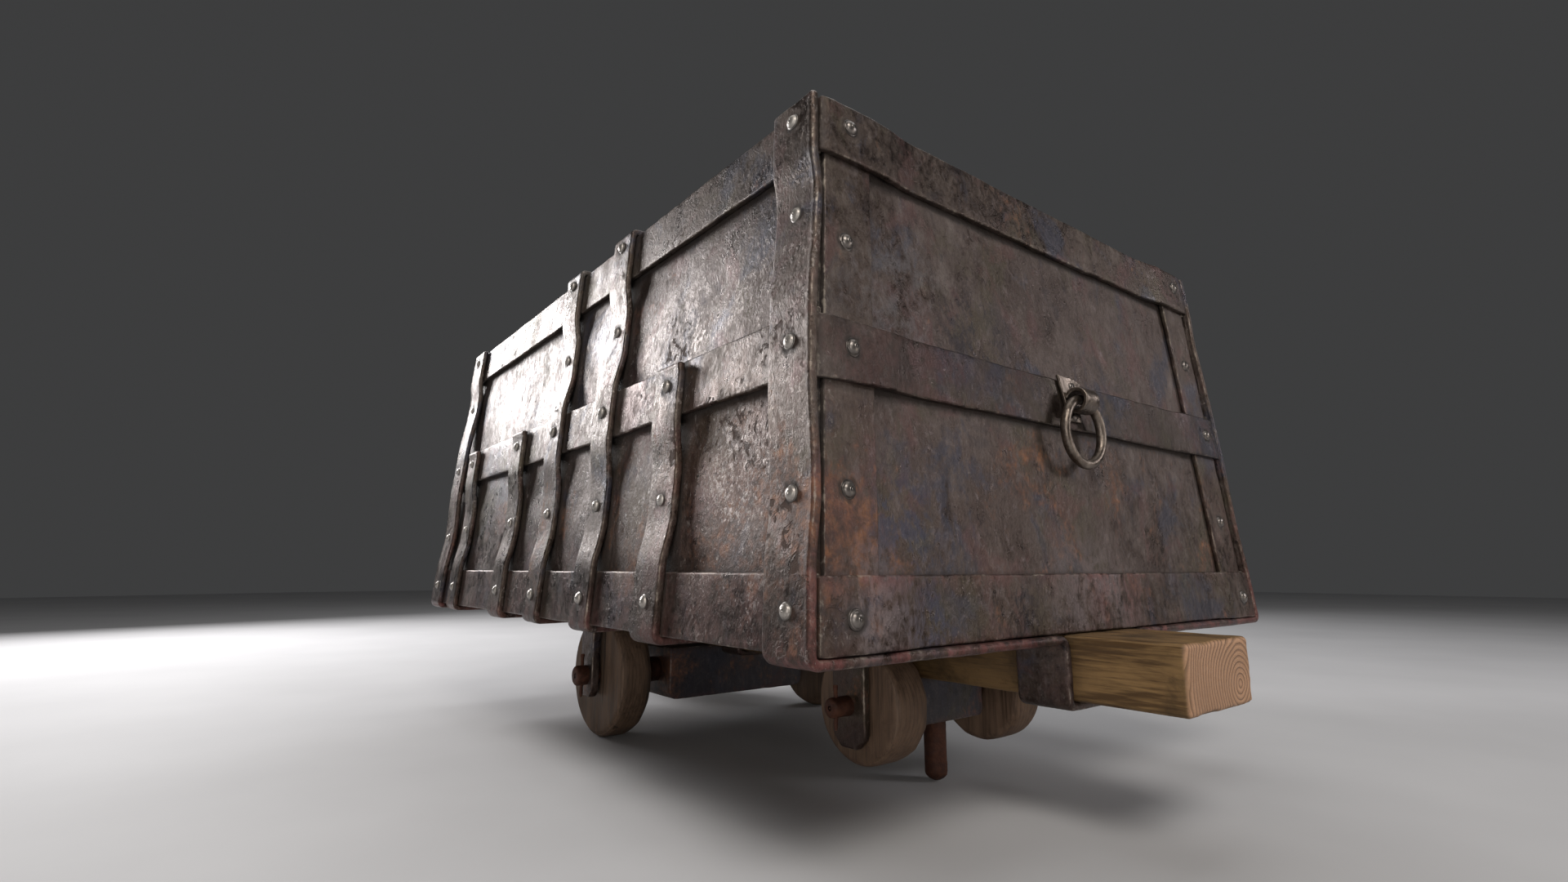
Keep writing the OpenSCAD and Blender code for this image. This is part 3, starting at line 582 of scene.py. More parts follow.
def wood(name, pith, along, light, dark, ring_mm=4.2, stain=(0.05, 0.035, 0.02), stain_amt=0.4, worn=(0.30, 0.24, 0.17), relief=1.0, end_lit_c=None, end_ring=3.4, ring_amt=0.55, stain_at=(0.50, 0.66), spread=(0.36, 0.52, 0.70)):
    """Timber whose growth rings circle the axis `along` through the point pith, so faces and ends show one grain."""
    m = Mat(name)
    P = m.scale(m.P, 1, 1, 1)
    ax = {"X": (0.05, 1, 1), "Y": (1, 0.05, 1), "Z": (1, 1, 0.05)}[along]
    other = {"X": (1, 2), "Y": (0, 2), "Z": (0, 1)}[along]
    W = m.warp(m.scale(P, *(0.25 if k < 1 else 1 for k in ax)), 9, 0.024)
    q = m.axes(W)
    d = [m.math("SUBTRACT", q[k], pith[i] * (1.0)) for i, k in enumerate(other)]
    r = m.math("SQRT", m.add(m.mul(d[0], d[0]), m.mul(d[1], d[1]), 1e-6))
    r = m.add(r, m.mul(m.math("SUBTRACT", m.noise(26, 3, 0.5, v=m.scale(P, *ax)), 0.5), 0.004))
    ph = m.math("FRACT", m.mul(r, 1000.0 / ring_mm))
    ring = m.math("POWER", ph, 2.2)
    late = m.step(ring, 0.25, 0.95)
    fibre = m.noise(260, 4, 0.6, 0.2, v=m.scale(P, *ax))
    broad = m.noise(38, 5, 0.6, 0.3, v=m.scale(P, *(0.2 if k < 1 else 1 for k in ax)))
    spots = m.noise(11, 6, 0.65, 0.3, v=P)
    c = m.ramp(m.add(m.mul(broad, 0.48), m.mul(fibre, 0.52)), [(spread[0], dark), (spread[1], light), (spread[2], tuple(min(1, x * 1.35) for x in light))])
    c = m.mix(m.mul(late, ring_amt), c, tuple(x * 0.55 for x in dark))
    st = m.step(m.add(m.mul(spots, 0.62), m.mul(broad, 0.22), m.mul(fibre, 0.16)), stain_at[0], stain_at[1])
    c = m.mix(m.mul(st, stain_amt), c, stain)
    crack = m.mul(m.step(m.noise(60, 3, 0.5, 0.0, v=m.scale(P, *(0.025 if k < 1 else 1 for k in ax))), 0.67, 0.71), m.math("SUBTRACT", 1.0, m.attr("tone")))
    c = m.mix(m.mul(crack, 0.65), c, (0.018, 0.012, 0.008))
    # painted shade, with some dirt: darker where the timber lies under or against other parts
    shade_dirt = m.attr("grime")
    c = m.mix(m.mul(shade_dirt, 0.75), c, tuple(x * 0.35 for x in dark))
    # end grain: plain rings, and a paler colour that is painted light, for the light falling on the end faces
    end = m.attr("tone")
    if end_lit_c is not None:
        er = m.step(m.math("POWER", m.math("FRACT", m.mul(r, 1000.0 / end_ring)), 1.6), 0.15, 0.95)
        ec = m.mix(m.mul(er, 0.95), end_lit_c, tuple(x * 0.36 for x in end_lit_c))
        ec = m.mix(m.step(m.noise(700, 2, 0.5, v=m.P), 0.5, 0.72, 0.0, 0.35), ec, tuple(x * 0.5 for x in end_lit_c))
        ec = m.mix(m.step(spots, 0.42, 0.66, 0.0, 0.45), ec, tuple(x * 0.62 for x in end_lit_c))
        c = m.mix(end, c, ec)
    e = m.step(m.add(m.attr("edge"), m.mul(m.math("SUBTRACT", spots, 0.5), 1.2), m.mul(m.math("SUBTRACT", fibre, 0.5), 0.8)), 0.75, 1.25)
    c = m.mix(m.mul(e, 0.5), c, worn)
    rg = m.add(m.step(fibre, 0.3, 0.7, 0.52, 0.78), m.mul(m.math("SUBTRACT", spots, 0.5), 0.3))
    n = m.bump(broad, 0.0018 * relief, 0.5)
    n = m.bump(late, 0.0005 * relief, 0.6, n)
    n = m.bump(fibre, 0.0006 * relief, 0.6, n)
    n = m.bump(m.math("SUBTRACT", 1.0, crack), 0.0012, 0.7, n)
    n = m.bump(m.noise(520, 2, 0.6, v=P), 0.00015, 0.5, n)
    return m.done(c, rg, 0.0, n, spec=0.32)


SHEET_RAMP = [(0.38, (0.028, 0.018, 0.014)), (0.46, (0.060, 0.042, 0.035)), (0.52, (0.092, 0.070, 0.061)), (0.58, (0.132, 0.106, 0.096)), (0.68, (0.21, 0.18, 0.165))]
STRAP_RAMP = [(0.38, (0.028, 0.018, 0.014)), (0.46, (0.056, 0.039, 0.031)), (0.52, (0.084, 0.063, 0.052)), (0.58, (0.122, 0.097, 0.083)), (0.68, (0.20, 0.17, 0.15))]
M_SHEET = iron("iron_sheet", SHEET_RAMP, rust=0.34)
M_STRAP = iron("strap_iron", STRAP_RAMP, rust=0.27, relief=0.85, seed=2.7, low=0.0, flakes=0.7)
M_BLOCK = iron("block_iron", [(0.30, (0.018, 0.014, 0.016)), (0.5, (0.040, 0.037, 0.046)), (0.65, (0.062, 0.062, 0.084)), (0.8, (0.10, 0.10, 0.125))], rough=(0.40, 0.62), rust=0.36, relief=0.8, metal=0.35, seed=5.1, bright=0.65, glint=0.3, flakes=0.0)
M_RUST = rusty("rusty_iron", [(0.30, (0.022, 0.010, 0.007)), (0.46, (0.060, 0.022, 0.013)), (0.58, (0.110, 0.042, 0.024)), (0.75, (0.19, 0.085, 0.045))])
M_RIVET_END = rusty("rivet_iron", [(0.30, (0.115, 0.102, 0.092)), (0.48, (0.165, 0.148, 0.136)), (0.66, (0.22, 0.20, 0.185))], rough=(0.30, 0.38), metal=0.85, relief=0.05, edge_c=(0.26, 0.24, 0.22), ew_amt=0.40)
# painted light: a paler, more diffuse copy of the rivet iron for the side rivets, standing for the sheen on that side;
# the end rivets keep the darker copy above
M_RIVET_SIDE_SHEEN = rusty("rivet_steel", [(0.30, (0.18, 0.158, 0.140)), (0.46, (0.34, 0.312, 0.285)), (0.60, (0.46, 0.430, 0.400))], rough=(0.34, 0.48), metal=0.60, relief=0.35, edge_c=(0.44, 0.41, 0.38))
M_RING = rusty("ring_iron", [(0.30, (0.055, 0.042, 0.034)), (0.5, (0.150, 0.122, 0.102)), (0.7, (0.32, 0.275, 0.235))], rough=(0.26, 0.46), metal=0.92, relief=0.6, edge_c=(0.42, 0.36, 0.28))
WH = dict(ring_mm=6.5, stain=(0.040, 0.024, 0.016), stain_amt=0.55, worn=(0.27, 0.195, 0.14), ring_amt=0.18, spread=(0.37, 0.52, 0.68))
# painted light and shade: one wheel wood in two copies, the front one lighter for the light on the front wheels, the
# rear one darker for the shade on the rear wheels
M_WHEEL_FRONT_LIT = wood("wheel_wood_front_lit", (0.351 + 0.012, 0.03), "Z", (0.170, 0.108, 0.071), (0.084, 0.051, 0.033), **WH)
M_WHEEL_REAR_SHADED = wood("wheel_wood_rear_shaded", (-0.152 + 0.020, 0.10), "Z", (0.140, 0.089, 0.058), (0.066, 0.041, 0.026), **WH)
M_BEAM = wood("beam_wood", (0.041, 0.160), "X", (0.215, 0.128, 0.052), (0.088, 0.048, 0.018), ring_mm=2.6, stain=(0.034, 0.021, 0.010), stain_amt=0.75, worn=(0.24, 0.16, 0.09), end_lit_c=(0.45, 0.262, 0.155), end_ring=5.4, ring_amt=0.16, stain_at=(0.47, 0.58), spread=(0.41, 0.50, 0.61))
M_PLANK = wood("plank_wood", (0.0, -0.30), "X", (0.17, 0.125, 0.09), (0.070, 0.050, 0.036), ring_mm=6.0, stain=(0.028, 0.020, 0.016), stain_amt=0.7, worn=(0.24, 0.19, 0.14), ring_amt=0.35)


# ---------------------------------------------------------------- box: sheets
RIVETS_END = (28, 133, 257.5, 365, 484.5)


def end_rivet_y(z):
    return ys(DECK + z, -38)


def spot(P, c, n, rad, depth):
    """A round dent at c, in the plane with normal n."""
    d = P - np.asarray(c, float)
    d = d - np.outer(d @ n, n)
    return depth * np.exp(-(np.linalg.norm(d, axis=1) / rad) ** 2)


def scatter(seed, count, box, rad, depth):
    """Random dents over a wall, given as (u, z, radius, depth) rows."""
    r = np.random.RandomState(seed)
    u = r.uniform(box[0], box[1], count)
    z = r.uniform(box[2], box[3], count)
    s = r.uniform(rad[0], rad[1], count)
    d = r.uniform(depth[0], depth[1], count)
    el = r.uniform(0.5, 1.0, count)
    an = r.uniform(0, math.pi, count)
    return np.stack([u, z, s, d, el, an], 1)


def dent_field(k, rows):
    """k is the horizontal coordinate that runs along the wall: 0 for X, 1 for Y."""

    def f(P):
        out = np.zeros(len(P))
        for u, z, s, d, el, an in rows:
            du, dz = P[:, k] - u, P[:, 2] - z
            near = (np.abs(du) < 3 * s) & (np.abs(dz) < 3 * s)
            if not near.any():
                continue
            a = du[near] * math.cos(an) + dz[near] * math.sin(an)
            b = -du[near] * math.sin(an) + dz[near] * math.cos(an)
            out[near] += d * np.exp(-((a / s) ** 2 + (b / (s * el)) ** 2))
        return out

    return f


def crescent(P, k, u, z, r, w, depth, a0, span):
    """A curved crease, part of a circle of radius r about (u, z)."""
    du, dz = P[:, k] - u, P[:, 2] - z
    rr = np.hypot(du, dz)
    an = np.angle(np.exp(1j * (np.arctan2(dz, du) - a0)))
    return depth * np.exp(-((rr - r) / w) ** 2) * np.exp(-(an / span) ** 2)


def side_place(sgn, z0, length, ref_o):
    """S along X, A up from z0, H outward from the bands' outer face; the ends follow the slanted end walls."""

    def f(s, a, h):
        z = z0 + a
        x = s * xs(z, ref_o) / (length / 2)
        return np.stack([x, sgn * ys(z, h), z], 1)

    return f


def end_place(sgn, z0, length, ref_o, extra=None):
    def f(s, a, h):
        z = z0 + a
        y = s * ys(z, ref_o) / (length / 2)
        o = h if extra is None else h + extra(y, z)
        return np.stack([sgn * xs(z, o), y, z], 1)

    return f


def side_painted_shade(V):
    """Painted shade below the bands, beside the straps and at the wall's foot; more of it where a strap steps away
    from the wall, and full where the corner hoops cover it.
    """
    z = V[:, 2] - DECK
    x = V[:, 0]
    g = np.zeros(len(V))
    gap = np.zeros(len(V))
    for edge_z in (66.0, 228.0, 296.0, 443.0):
        gap = np.maximum(gap, np.exp(-((z - edge_z) / 26.0) ** 2))
    reach = 5.0 + 8.0 * gap
    for top in (232.0, 447.0):
        d = top - z
        g = np.maximum(g, np.where(d > -4, np.exp(-np.maximum(d, 0) / 7.0), 0))
    g = np.maximum(g, np.where(z < 74, np.exp(-np.maximum(z - 64, 0) / 3.0), 0) * 0.6)
    for c in HOOPS:
        g = np.maximum(g, np.exp(-np.maximum(np.abs(x - c) - 27.5, 0) / reach) * 0.85)
    for c, _ in HALVES:
        g = np.maximum(g, np.exp(-np.maximum(np.abs(x - c) - 27.5, 0) / reach) * 0.85 * (z < 289))
    d = np.abs(np.abs(x) - (xs(V[:, 2], -64)))
    g = np.maximum(g, np.exp(-d / 5.0) * 0.6)
    return np.where(np.abs(x) > xs(V[:, 2], -20), 1.0, g)


# painted shade on the end sheets: under the bands, above the bottom band, beside the strips, and full where the corner
# hoops cover the sheet
def end_painted_shade(V):
    z = V[:, 2] - DECK
    y = np.abs(V[:, 1])
    g = np.zeros(len(V))
    for top in (225.0, 448.0):
        d = top - z
        g = np.maximum(g, np.where(d > -4, np.exp(-np.maximum(d, 0) / 6.0), 0))
    g = np.maximum(g, np.where(z < 72, np.exp(-np.maximum(z - 63, 0) / 3.0), 0) * 0.5)
    g = np.maximum(g, np.exp(-np.abs(y - ys(V[:, 2], -73)) / 5.0) * 0.6)
    return np.where(y > ys(V[:, 2], -14), 1.0, g)


for sgn, sn in ((1, "left"), (-1, "right")):
    g = Geo()
    sd = 300 if sgn > 0 else 400
    rows = scatter(sd, 46, (-560, 560, 250, 700), (16, 55), (0.4, 2.1))
    if sgn < 0:
        extra = [(500, 560, 34, 2.2, 0.7, 0.6), (455, 330, 40, 2.4, 0.8, 2.2), (250, 585, 48, 2.6, 0.6, 1.0), (-330, 600, 60, 2.4, 0.7, 0.3), (70, 560, 30, 1.8, 0.7, 2.0), (-100, 380, 38, 1.6, 0.8, 1.0)]
        rows = np.concatenate([rows, np.array(extra)])
    df = dent_field(0, rows)

    def dents(P, df=df, sd=sd):
        return np.clip(df(P), 0, 3.4) + 0.9 * (fbm(P, 130, sd + 1, 2) * 0.5 + 0.5) + 0.35 * (fbm(P, 22, sd + 2, 2) * 0.5 + 0.5)

    forged(g, (-586, 586, 5.5), (0, 510, 5.5), (-13, -8, 2.5), 1.3, side_place(sgn, DECK, 1172, END_O), sd, face=0.0, edge=0.8, dents=dents, proud=False, grime=side_painted_shade)
    for e in (1, -1):
        def pl(s, a, h, e=e, sgn=sgn):
            z = 241 + s
            return np.stack([e * xs(z, FLANGE_IN + h), sgn * (ys(z, PANEL_O) + a), z], 1)
        forged(g, (0, 472, 12), (-45, 1, 9), (0, 5, 2.5), 1.2, pl, sd + 31 * e, face=0.3, edge=0.5)
    g.build(sn + "_side_panel", "cart", M_SHEET, "iron_sheet", sn + "_side_panel")

for sgn, en in ((1, "front"), (-1, "rear")):
    g = Geo()
    sd = 500 if sgn > 0 else 600
    rows = scatter(sd, 34, (-340, 340, 250, 690), (16, 60), (0.3, 1.7))
    df = dent_field(1, rows)

    def dents(P, df=df, sd=sd, sgn=sgn):
        d = np.clip(df(P), 0, 3.0) + 0.9 * (fbm(P, 130, sd + 1, 2) * 0.5 + 0.5) + 0.35 * (fbm(P, 22, sd + 2, 2) * 0.5 + 0.5)
        if sgn > 0:
            d = d + crescent(P, 1, -268, 560, 34, 7, 4.6, math.radians(0), 0.80) - crescent(P, 1, -268, 560, 46, 7, 1.2, math.radians(0), 0.70)
            d = d + crescent(P, 1, -215, 600, 60, 12, 2.2, math.radians(20), 0.5)
            d = d + crescent(P, 1, -246, 338, 36, 8, 3.0, math.radians(10), 0.75)
            d = d + crescent(P, 1, -160, 330, 60, 8, 2.6, math.radians(170), 0.5)
        return d

    forged(g, (-396, 396, 5.5), (0, 510, 5.5), (END_IN, END_O, 2.5), 1.3, end_place(sgn, DECK, 792, PANEL_O), sd, face=0.0, edge=0.8, dents=dents, proud=False, grime=end_painted_shade)
    g.build(en + "_panel", "cart", M_SHEET, "iron_sheet", en + "_panel")

# ---------------------------------------------------------------- bands
SB = {"bottom": (0, 64), "mid": (232, 292), "top": (447, 510)}
EB = {"bottom": (0, 63), "mid": (225, 285), "top": (448, 510)}


def rivet_dish(points, k, rad=15.0, depth=0.7):
    """Straps are drawn in a little round each rivet."""

    def f(P):
        out = np.zeros(len(P))
        for u, z in points:
            d2 = (P[:, k] - u) ** 2 + (P[:, 2] - z) ** 2
            out += depth * np.exp(-d2 / rad ** 2)
        return out

    return f


# painted shade: a dark ring round each rivet head, where it meets the strap, over any base shade
def rivet_ring_shade(points, k, rad=13.0, base=None):
    def f(V):
        out = np.zeros(len(V)) if base is None else base(V)
        for u, z in points:
            d = np.hypot(V[:, k] - u, V[:, 2] - z)
            out = np.maximum(out, 1.0 * np.exp(-((d - (9.6 if k else 8.5)) / 2.4) ** 2))
        return out

    return f


def band_painted_shade(V):
    """Painted shade on a side band where a strap crosses it."""
    g = np.zeros(len(V))
    x, z = V[:, 0], V[:, 2] - DECK
    for c in HOOPS:
        g = np.maximum(g, np.exp(-np.maximum(np.abs(x - c) - 27.5, 0) / 4.0) * 0.8)
    for c, _ in HALVES:
        g = np.maximum(g, np.exp(-np.maximum(np.abs(x - c) - 27.5, 0) / 4.0) * 0.8 * (z < 292))
    g = np.maximum(g, np.exp(-np.abs(np.abs(x) - xs(V[:, 2], -64)) / 4.0) * 0.7)
    return np.where(np.abs(x) > xs(V[:, 2], -13), 1.0, g)


for sgn, sn in ((1, "left"), (-1, "right")):
    for bn, (z0, z1) in SB.items():
        g = Geo()
        sd = 700 + 40 * list(SB).index(bn) + (sgn > 0)
        L = 2 * xs(DECK + z0, -BAND)
        forged(g, (-L / 2, L / 2, 6), (0, z1 - z0, 5.5), (-8, 0, 2.6), 2.3, side_place(sgn, DECK + z0, L, -BAND), sd, face=0.5, edge=1.3 if bn != "bottom" else 0.8,
               proud=(bn != "top"), grime=band_painted_shade, red=(0.25 if bn == "bottom" else 0.0))
        name = f"{sn}_{bn}_band"
        g.build(name, "cart", M_STRAP, "strap_iron", name)


def joggle(y, z):
    """End bands lie over the strips and step back to the sheet between them."""
    d = np.abs(y) - ys(z, -72)
    turn = np.clip((np.abs(y) - ys(z, -15)) / 15.0, 0, 1)
    return -6.0 * (1 - step(d, -62.0, 0.0)) - 4.6 * turn ** 2


for sgn, en in ((1, "front"), (-1, "rear")):
    for bn, (z0, z1) in EB.items():
        g = Geo()
        sd = 820 + 40 * list(EB).index(bn) + (sgn > 0)
        cut = 0.0 if bn == "mid" else -3.0
        L = 2 * ys(DECK + z0, cut)
        zr = {"bottom": 28, "mid": 257.5, "top": 484.5}[bn]
        pts = [(s * end_rivet_y(zr), DECK + zr) for s in (1, -1)]

        def redf(V, bn=bn):
            z = V[:, 2] - DECK
            if bn == "bottom":
                r = 0.7 * np.exp(-np.abs(z - 60) / 9.0) * (np.exp(-((V[:, 1] + 330) / 70) ** 2) + 0.9 * np.exp(-((V[:, 1] - 20) / 90) ** 2) + 0.3)
                r = np.maximum(r, 0.7 * np.exp(-np.hypot(V[:, 1] - 40, z - 44) ** 2 / 48 ** 2))
                return np.clip(np.maximum(r, np.exp(-z / 4.0) * 0.5), 0, 1)
            if bn == "mid":
                return 0.30 * step(-V[:, 1], 40, 330)
            return np.zeros(len(V))

        inner = rivet_dish(pts, 1)

        def dts(P, inner=inner, sgn=sgn, bn=bn):
            d = inner(P)
            if bn == "bottom" and sgn > 0:
                # crease beside the left rivet and a dented upper edge
                d = d + 1.3 * np.exp(-((P[:, 2] - (222 + (P[:, 1] + 380) * 0.25)) / 3.0) ** 2) * np.exp(-((P[:, 1] + 382) / 16) ** 2)
                d = d + 1.2 * np.exp(-((P[:, 2] - 262) / 9) ** 2) * (0.5 + 0.5 * fbm(P, 24, 33, 2))
            return d

        # painted shade near the band ends, where they pass under the corner hoops, and a dark ring round each rivet
        forged(g, (-L / 2, L / 2, 6), (0, z1 - z0, 5.5), (-8, 0, 2.6), 2.4, end_place(sgn, DECK + z0, L, cut, joggle), sd, face=0.5,
               edge=1.4 if bn != "bottom" else 1.0, proud=False, dents=dts, tone=0.50 if bn == "mid" else 0.0, grime=rivet_ring_shade(pts, 1, base=lambda V: 0.55 * step(np.abs(V[:, 1]) - ys(V[:, 2], 0), -11, -4)), red=redf)
        name = f"{en}_{bn}_band"
        g.build(name, "cart", M_STRAP, "strap_iron", name)
    for s2, sn in ((1, "left"), (-1, "right")):
        g = Geo()
        sd = 960 + (sgn > 0) * 2 + (s2 > 0)
        pts = [(s2 * end_rivet_y(z), DECK + z) for z in (133, 365)]

        def pl(s, a, h, sgn=sgn, s2=s2):
            z = DECK + s
            w = (a + 8) / 62.0 * (62 - 4 * s / 510.0)
            return np.stack([sgn * xs(z, h), s2 * ys(z, w - 11), z], 1)

        # painted shade under the bands' lower edges and where the corner hoops cover the strip, with a dark ring round
        # each rivet
        forged(g, (0, 510, 6), (-70, -8, 5.5), (END_O, -8, 2.0), 1.9, pl, sd, face=0.5, edge=0.9, dents=rivet_dish(pts, 1),
               grime=rivet_ring_shade(pts, 1, base=lambda V: np.maximum(0.6 * np.maximum(np.exp(-np.abs(V[:, 2] - DECK - 221) / 4.0), np.exp(-np.abs(V[:, 2] - DECK - 444) / 4.0)),
                                                                  1.0 * (np.abs(V[:, 1]) > ys(V[:, 2], -11.9)))),
               red=lambda V: 0.25 * np.exp(-np.abs(V[:, 2] - 330) / 50))
        name = f"{en}_{sn}_strip"
        g.build(name, "cart", M_STRAP, "strap_iron", name)


# ---------------------------------------------------------------- hoops and half straps
def path(points, radii, spacing=6.0):
    """A line through the points with rounded corners: arc length, y, z, outward normal and the leg's number."""
    pts = [np.array(p, float) for p in points]
    out, s_here = [], 0.0
    cur = pts[0]
    for i in range(1, len(pts)):
        d = pts[i] - pts[i - 1]
        d = d / np.linalg.norm(d)
        last = i == len(pts) - 1
        if last:
            end = pts[i]
        else:
            e = pts[i + 1] - pts[i]
            e = e / np.linalg.norm(e)
            turn = math.atan2(d[0] * e[1] - d[1] * e[0], float(d @ e))
            T = radii[i - 1] * math.tan(abs(turn) / 2)
            end = pts[i] - d * T
        L = np.linalg.norm(end - cur)
        n = max(1, int(round(L / spacing)))
        for k in range(n + (1 if last else 0)):
            out.append((*(cur + (end - cur) * k / n), -d[1], d[0], i - 1))
        if last:
            break
        r = radii[i - 1]
        sg = 1.0 if turn > 0 else -1.0
        n1 = np.array([-d[1], d[0]]) * sg
        c = end + n1 * r
        m = 7
        for k in range(m):
            a = turn * k / m
            ca, sa = math.cos(a), math.sin(a)
            v = end - c
            v = np.array([v[0] * ca - v[1] * sa, v[0] * sa + v[1] * ca])
            dd = np.array([d[0] * ca - d[1] * sa, d[0] * sa + d[1] * ca])
            out.append((*(c + v), -dd[1], dd[0], i - 0.5))
        cur = pts[i] + e * T
    o = np.array(out)
    keep = np.concatenate([[True], np.hypot(np.diff(o[:, 0]), np.diff(o[:, 1])) > 1e-6])
    o = o[keep]
    s = np.concatenate([[0], np.cumsum(np.hypot(np.diff(o[:, 0]), np.diff(o[:, 1])))])
    return s, o


def strap_place(s_tab, o, xc, along_wall, depth=None):
    """Turns (along, across, outward) into space, following the line o; xc(z) is the strap's middle."""

    def f(s, a, h):
        y = np.interp(s, s_tab, o[:, 0])
        z = np.interp(s, s_tab, o[:, 1])
        ny = np.interp(s, s_tab, o[:, 2])
        nz = np.interp(s, s_tab, o[:, 3])
        ln = np.hypot(ny, nz)
        off = h + along_wall(s) * (wave(z) if depth is None else depth(z))
        X = xc(z, a)
        return np.stack([X, y + ny / ln * off, z + nz / ln * off], 1)

    return f


def hoop_points(curl):
    top = [(ys(683, -13.5), 683), (ys(713, -13.5), 713.2), (ys(713, 0.3), 713.2)] if curl else [(ys(713), 713)]
    left = top + [(ys(203, 0), 203), (70, 203), (70, 137)]
    rad = ([1.5, 1.5] if curl else []) + [3.0, 16.0, 1.5]
    pts = left + [(-y, z) for y, z in left[::-1]]
    return pts, rad + rad[::-1]


def hoop_red(V):
    z = V[:, 2]
    low = step(-z, -232, -205)
    return np.clip(0.95 * low, 0, 1)


def corner_wave(z):
    """The corner straps bend less: a dip under the top band and a shallow one above the bottom band."""
    u = z - DECK
    return -5.8 * (step(u, 296, 400) - step(u, 405, 450)) - 4.6 * (step(u, 66, 125) - step(u, 130, 226))


CORNER_A = np.array([-32, -28.5, -24, -18, -12, -6, 0, 6, 12, 17, 20.5, 22.4, 23.6, 24.8, 26, 27.2, 28.4, 29.4, 30.4])


def hoop(name, x0, curl, seed, corner=0):
    pts, rad = hoop_points(curl)
    s_tab, o = path(pts, rad)
    seg = o[:, 4]
    nleg = len(pts) - 1
    wall = [2, nleg - 3] if curl else [0, nleg - 1]
    flag = np.isin(seg, wall).astype(float)

    def along(s):
        return np.interp(s, s_tab, flag)

    if corner:
        half = 32.0

        def xc(z, a):
            return corner * (xs(np.maximum(z, DECK), -32) + a)
    else:
        half = 27.5

        def xc(z, a):
            return x0 + a + 0 * z

    g = Geo()
    rz = (34, 128, 261, 389, 488) if corner else (31, 145, 265, 377, 497)
    if corner:
        rp = [(corner * xs(DECK + z, -32), DECK + z) for z in rz]
    else:
        rp = [(x0, DECK + z) for z in rz]

    # painted shade: dark rings round the rivets on the side legs
    def grime(V):
        z = V[:, 2] - DECK
        gg = rivet_ring_shade(rp, 0)(V)
        gg = gg * (np.abs(V[:, 1]) > 300)
        if corner:
            gg = np.maximum(gg, 0)
        return gg

    dish = rivet_dish(rp, 0)

    def dents(P):
        return dish(P) * (np.abs(P[:, 1]) > 330) + (0.35 if curl else 0.1)

    place = strap_place(s_tab, o, xc, along, corner_wave if corner else None)

    def redf(V):
        r = hoop_red(V)
        if corner:
            # the paint stays on the edge that faces the end
            face = step(np.abs(V[:, 0]) - xs(np.maximum(V[:, 2], DECK), 0), -8, -2)
            r = np.maximum(r * (0.35 + 0.65 * face), face * 0.8 * step(-V[:, 2], -410, -300))
            r = np.maximum(r, 0.9 * step(-V[:, 2], -206, -202)) * (1 - 0.85 * step(-np.abs(V[:, 1]), -96, -84))
        else:
            r = r * 0.5 * (1 - 0.85 * step(-np.abs(V[:, 1]), -96, -84))
        return r

    def bead(s, a):
        """A rolled bead along the edge that faces the end, with a crease behind it."""
        return along(s) * (0.5 * np.exp(-((a - 26.5) / 3.0) ** 2) - 0.15 * np.exp(-((a - 22.0) / 1.4) ** 2))

    if corner:
        # painted shade: a thin dark line in the crease behind the bead
        def grime(V, inner=grime):
            front = (np.abs(V[:, 0]) - xs(np.maximum(V[:, 2], DECK), -32)) + 0.0
            line = np.exp(-((front - 23.9) / 1.0) ** 2) * (np.abs(V[:, 1]) > 330) * (V[:, 2] > DECK)
            return np.maximum(inner(V), 0.25 * line)

    forged(g, (0, s_tab[-1], s_tab), (-half, 30.4 if corner else half, CORNER_A if corner else 5.5), (0, STRAP, 2.4), 4.2 if corner else 3.4, place, seed,
           face=0.7, edge=0.9, dents=dents, proud=not curl, grime=grime, red=redf, lip=bead if corner else None)
    g.build(name, "cart", M_STRAP, "strap_iron", name)


hoop("forward_hoop", HOOPS[0], True, 1100)
hoop("middle_hoop", HOOPS[1], True, 1140)
hoop("front_corner_hoop", 0, False, 1180, corner=1)
hoop("rear_corner_hoop", 0, False, 1220, corner=-1)

for sgn, sn in ((1, "left"), (-1, "right")):
    for i, (x0, hn) in enumerate(HALVES):
        pts = [(ys(492), 492), (ys(203), 203), (340, 203)]
        s_tab, o = path(pts, [3.0])
        flag = (o[:, 4] == 0).astype(float)

        def place(s, a, h, s_tab=s_tab, o=o, flag=flag, x0=x0, sgn=sgn):
            V = strap_place(s_tab, o, lambda z, a: x0 + a + 0 * z, lambda q: np.interp(q, s_tab, flag))(s, a, h)
            V[:, 1] *= sgn
            return V

        rp = [(x0, DECK + z) for z in (33, 140, 265)]
        dish = rivet_dish(rp, 0)
        g = Geo()

        def lip(s, a):
            """The upper end is upset into a thicker, rounded lip."""
            return 1.8 * np.exp(-((s - 4.0) / 5.0) ** 2)

        # painted shade: dark rings round the rivets on the strap
        forged(g, (0, s_tab[-1], s_tab), (-27.5, 27.5, 5.5), (0, STRAP, 2.4), 3.4, place, 1300 + 20 * i + (sgn > 0), face=0.7, edge=1.1,
               dents=lambda P, dish=dish: dish(P) * (np.abs(P[:, 1]) > 330), lip=lip,
               grime=lambda V, rp=rp: rivet_ring_shade(rp, 0)(V) * (np.abs(V[:, 1]) > 330),
               red=lambda V: 0.6 * step(-V[:, 2], -225, -203))
        name = f"{sn}_{hn}_strap"
        g.build(name, "cart", M_STRAP, "strap_iron", name)


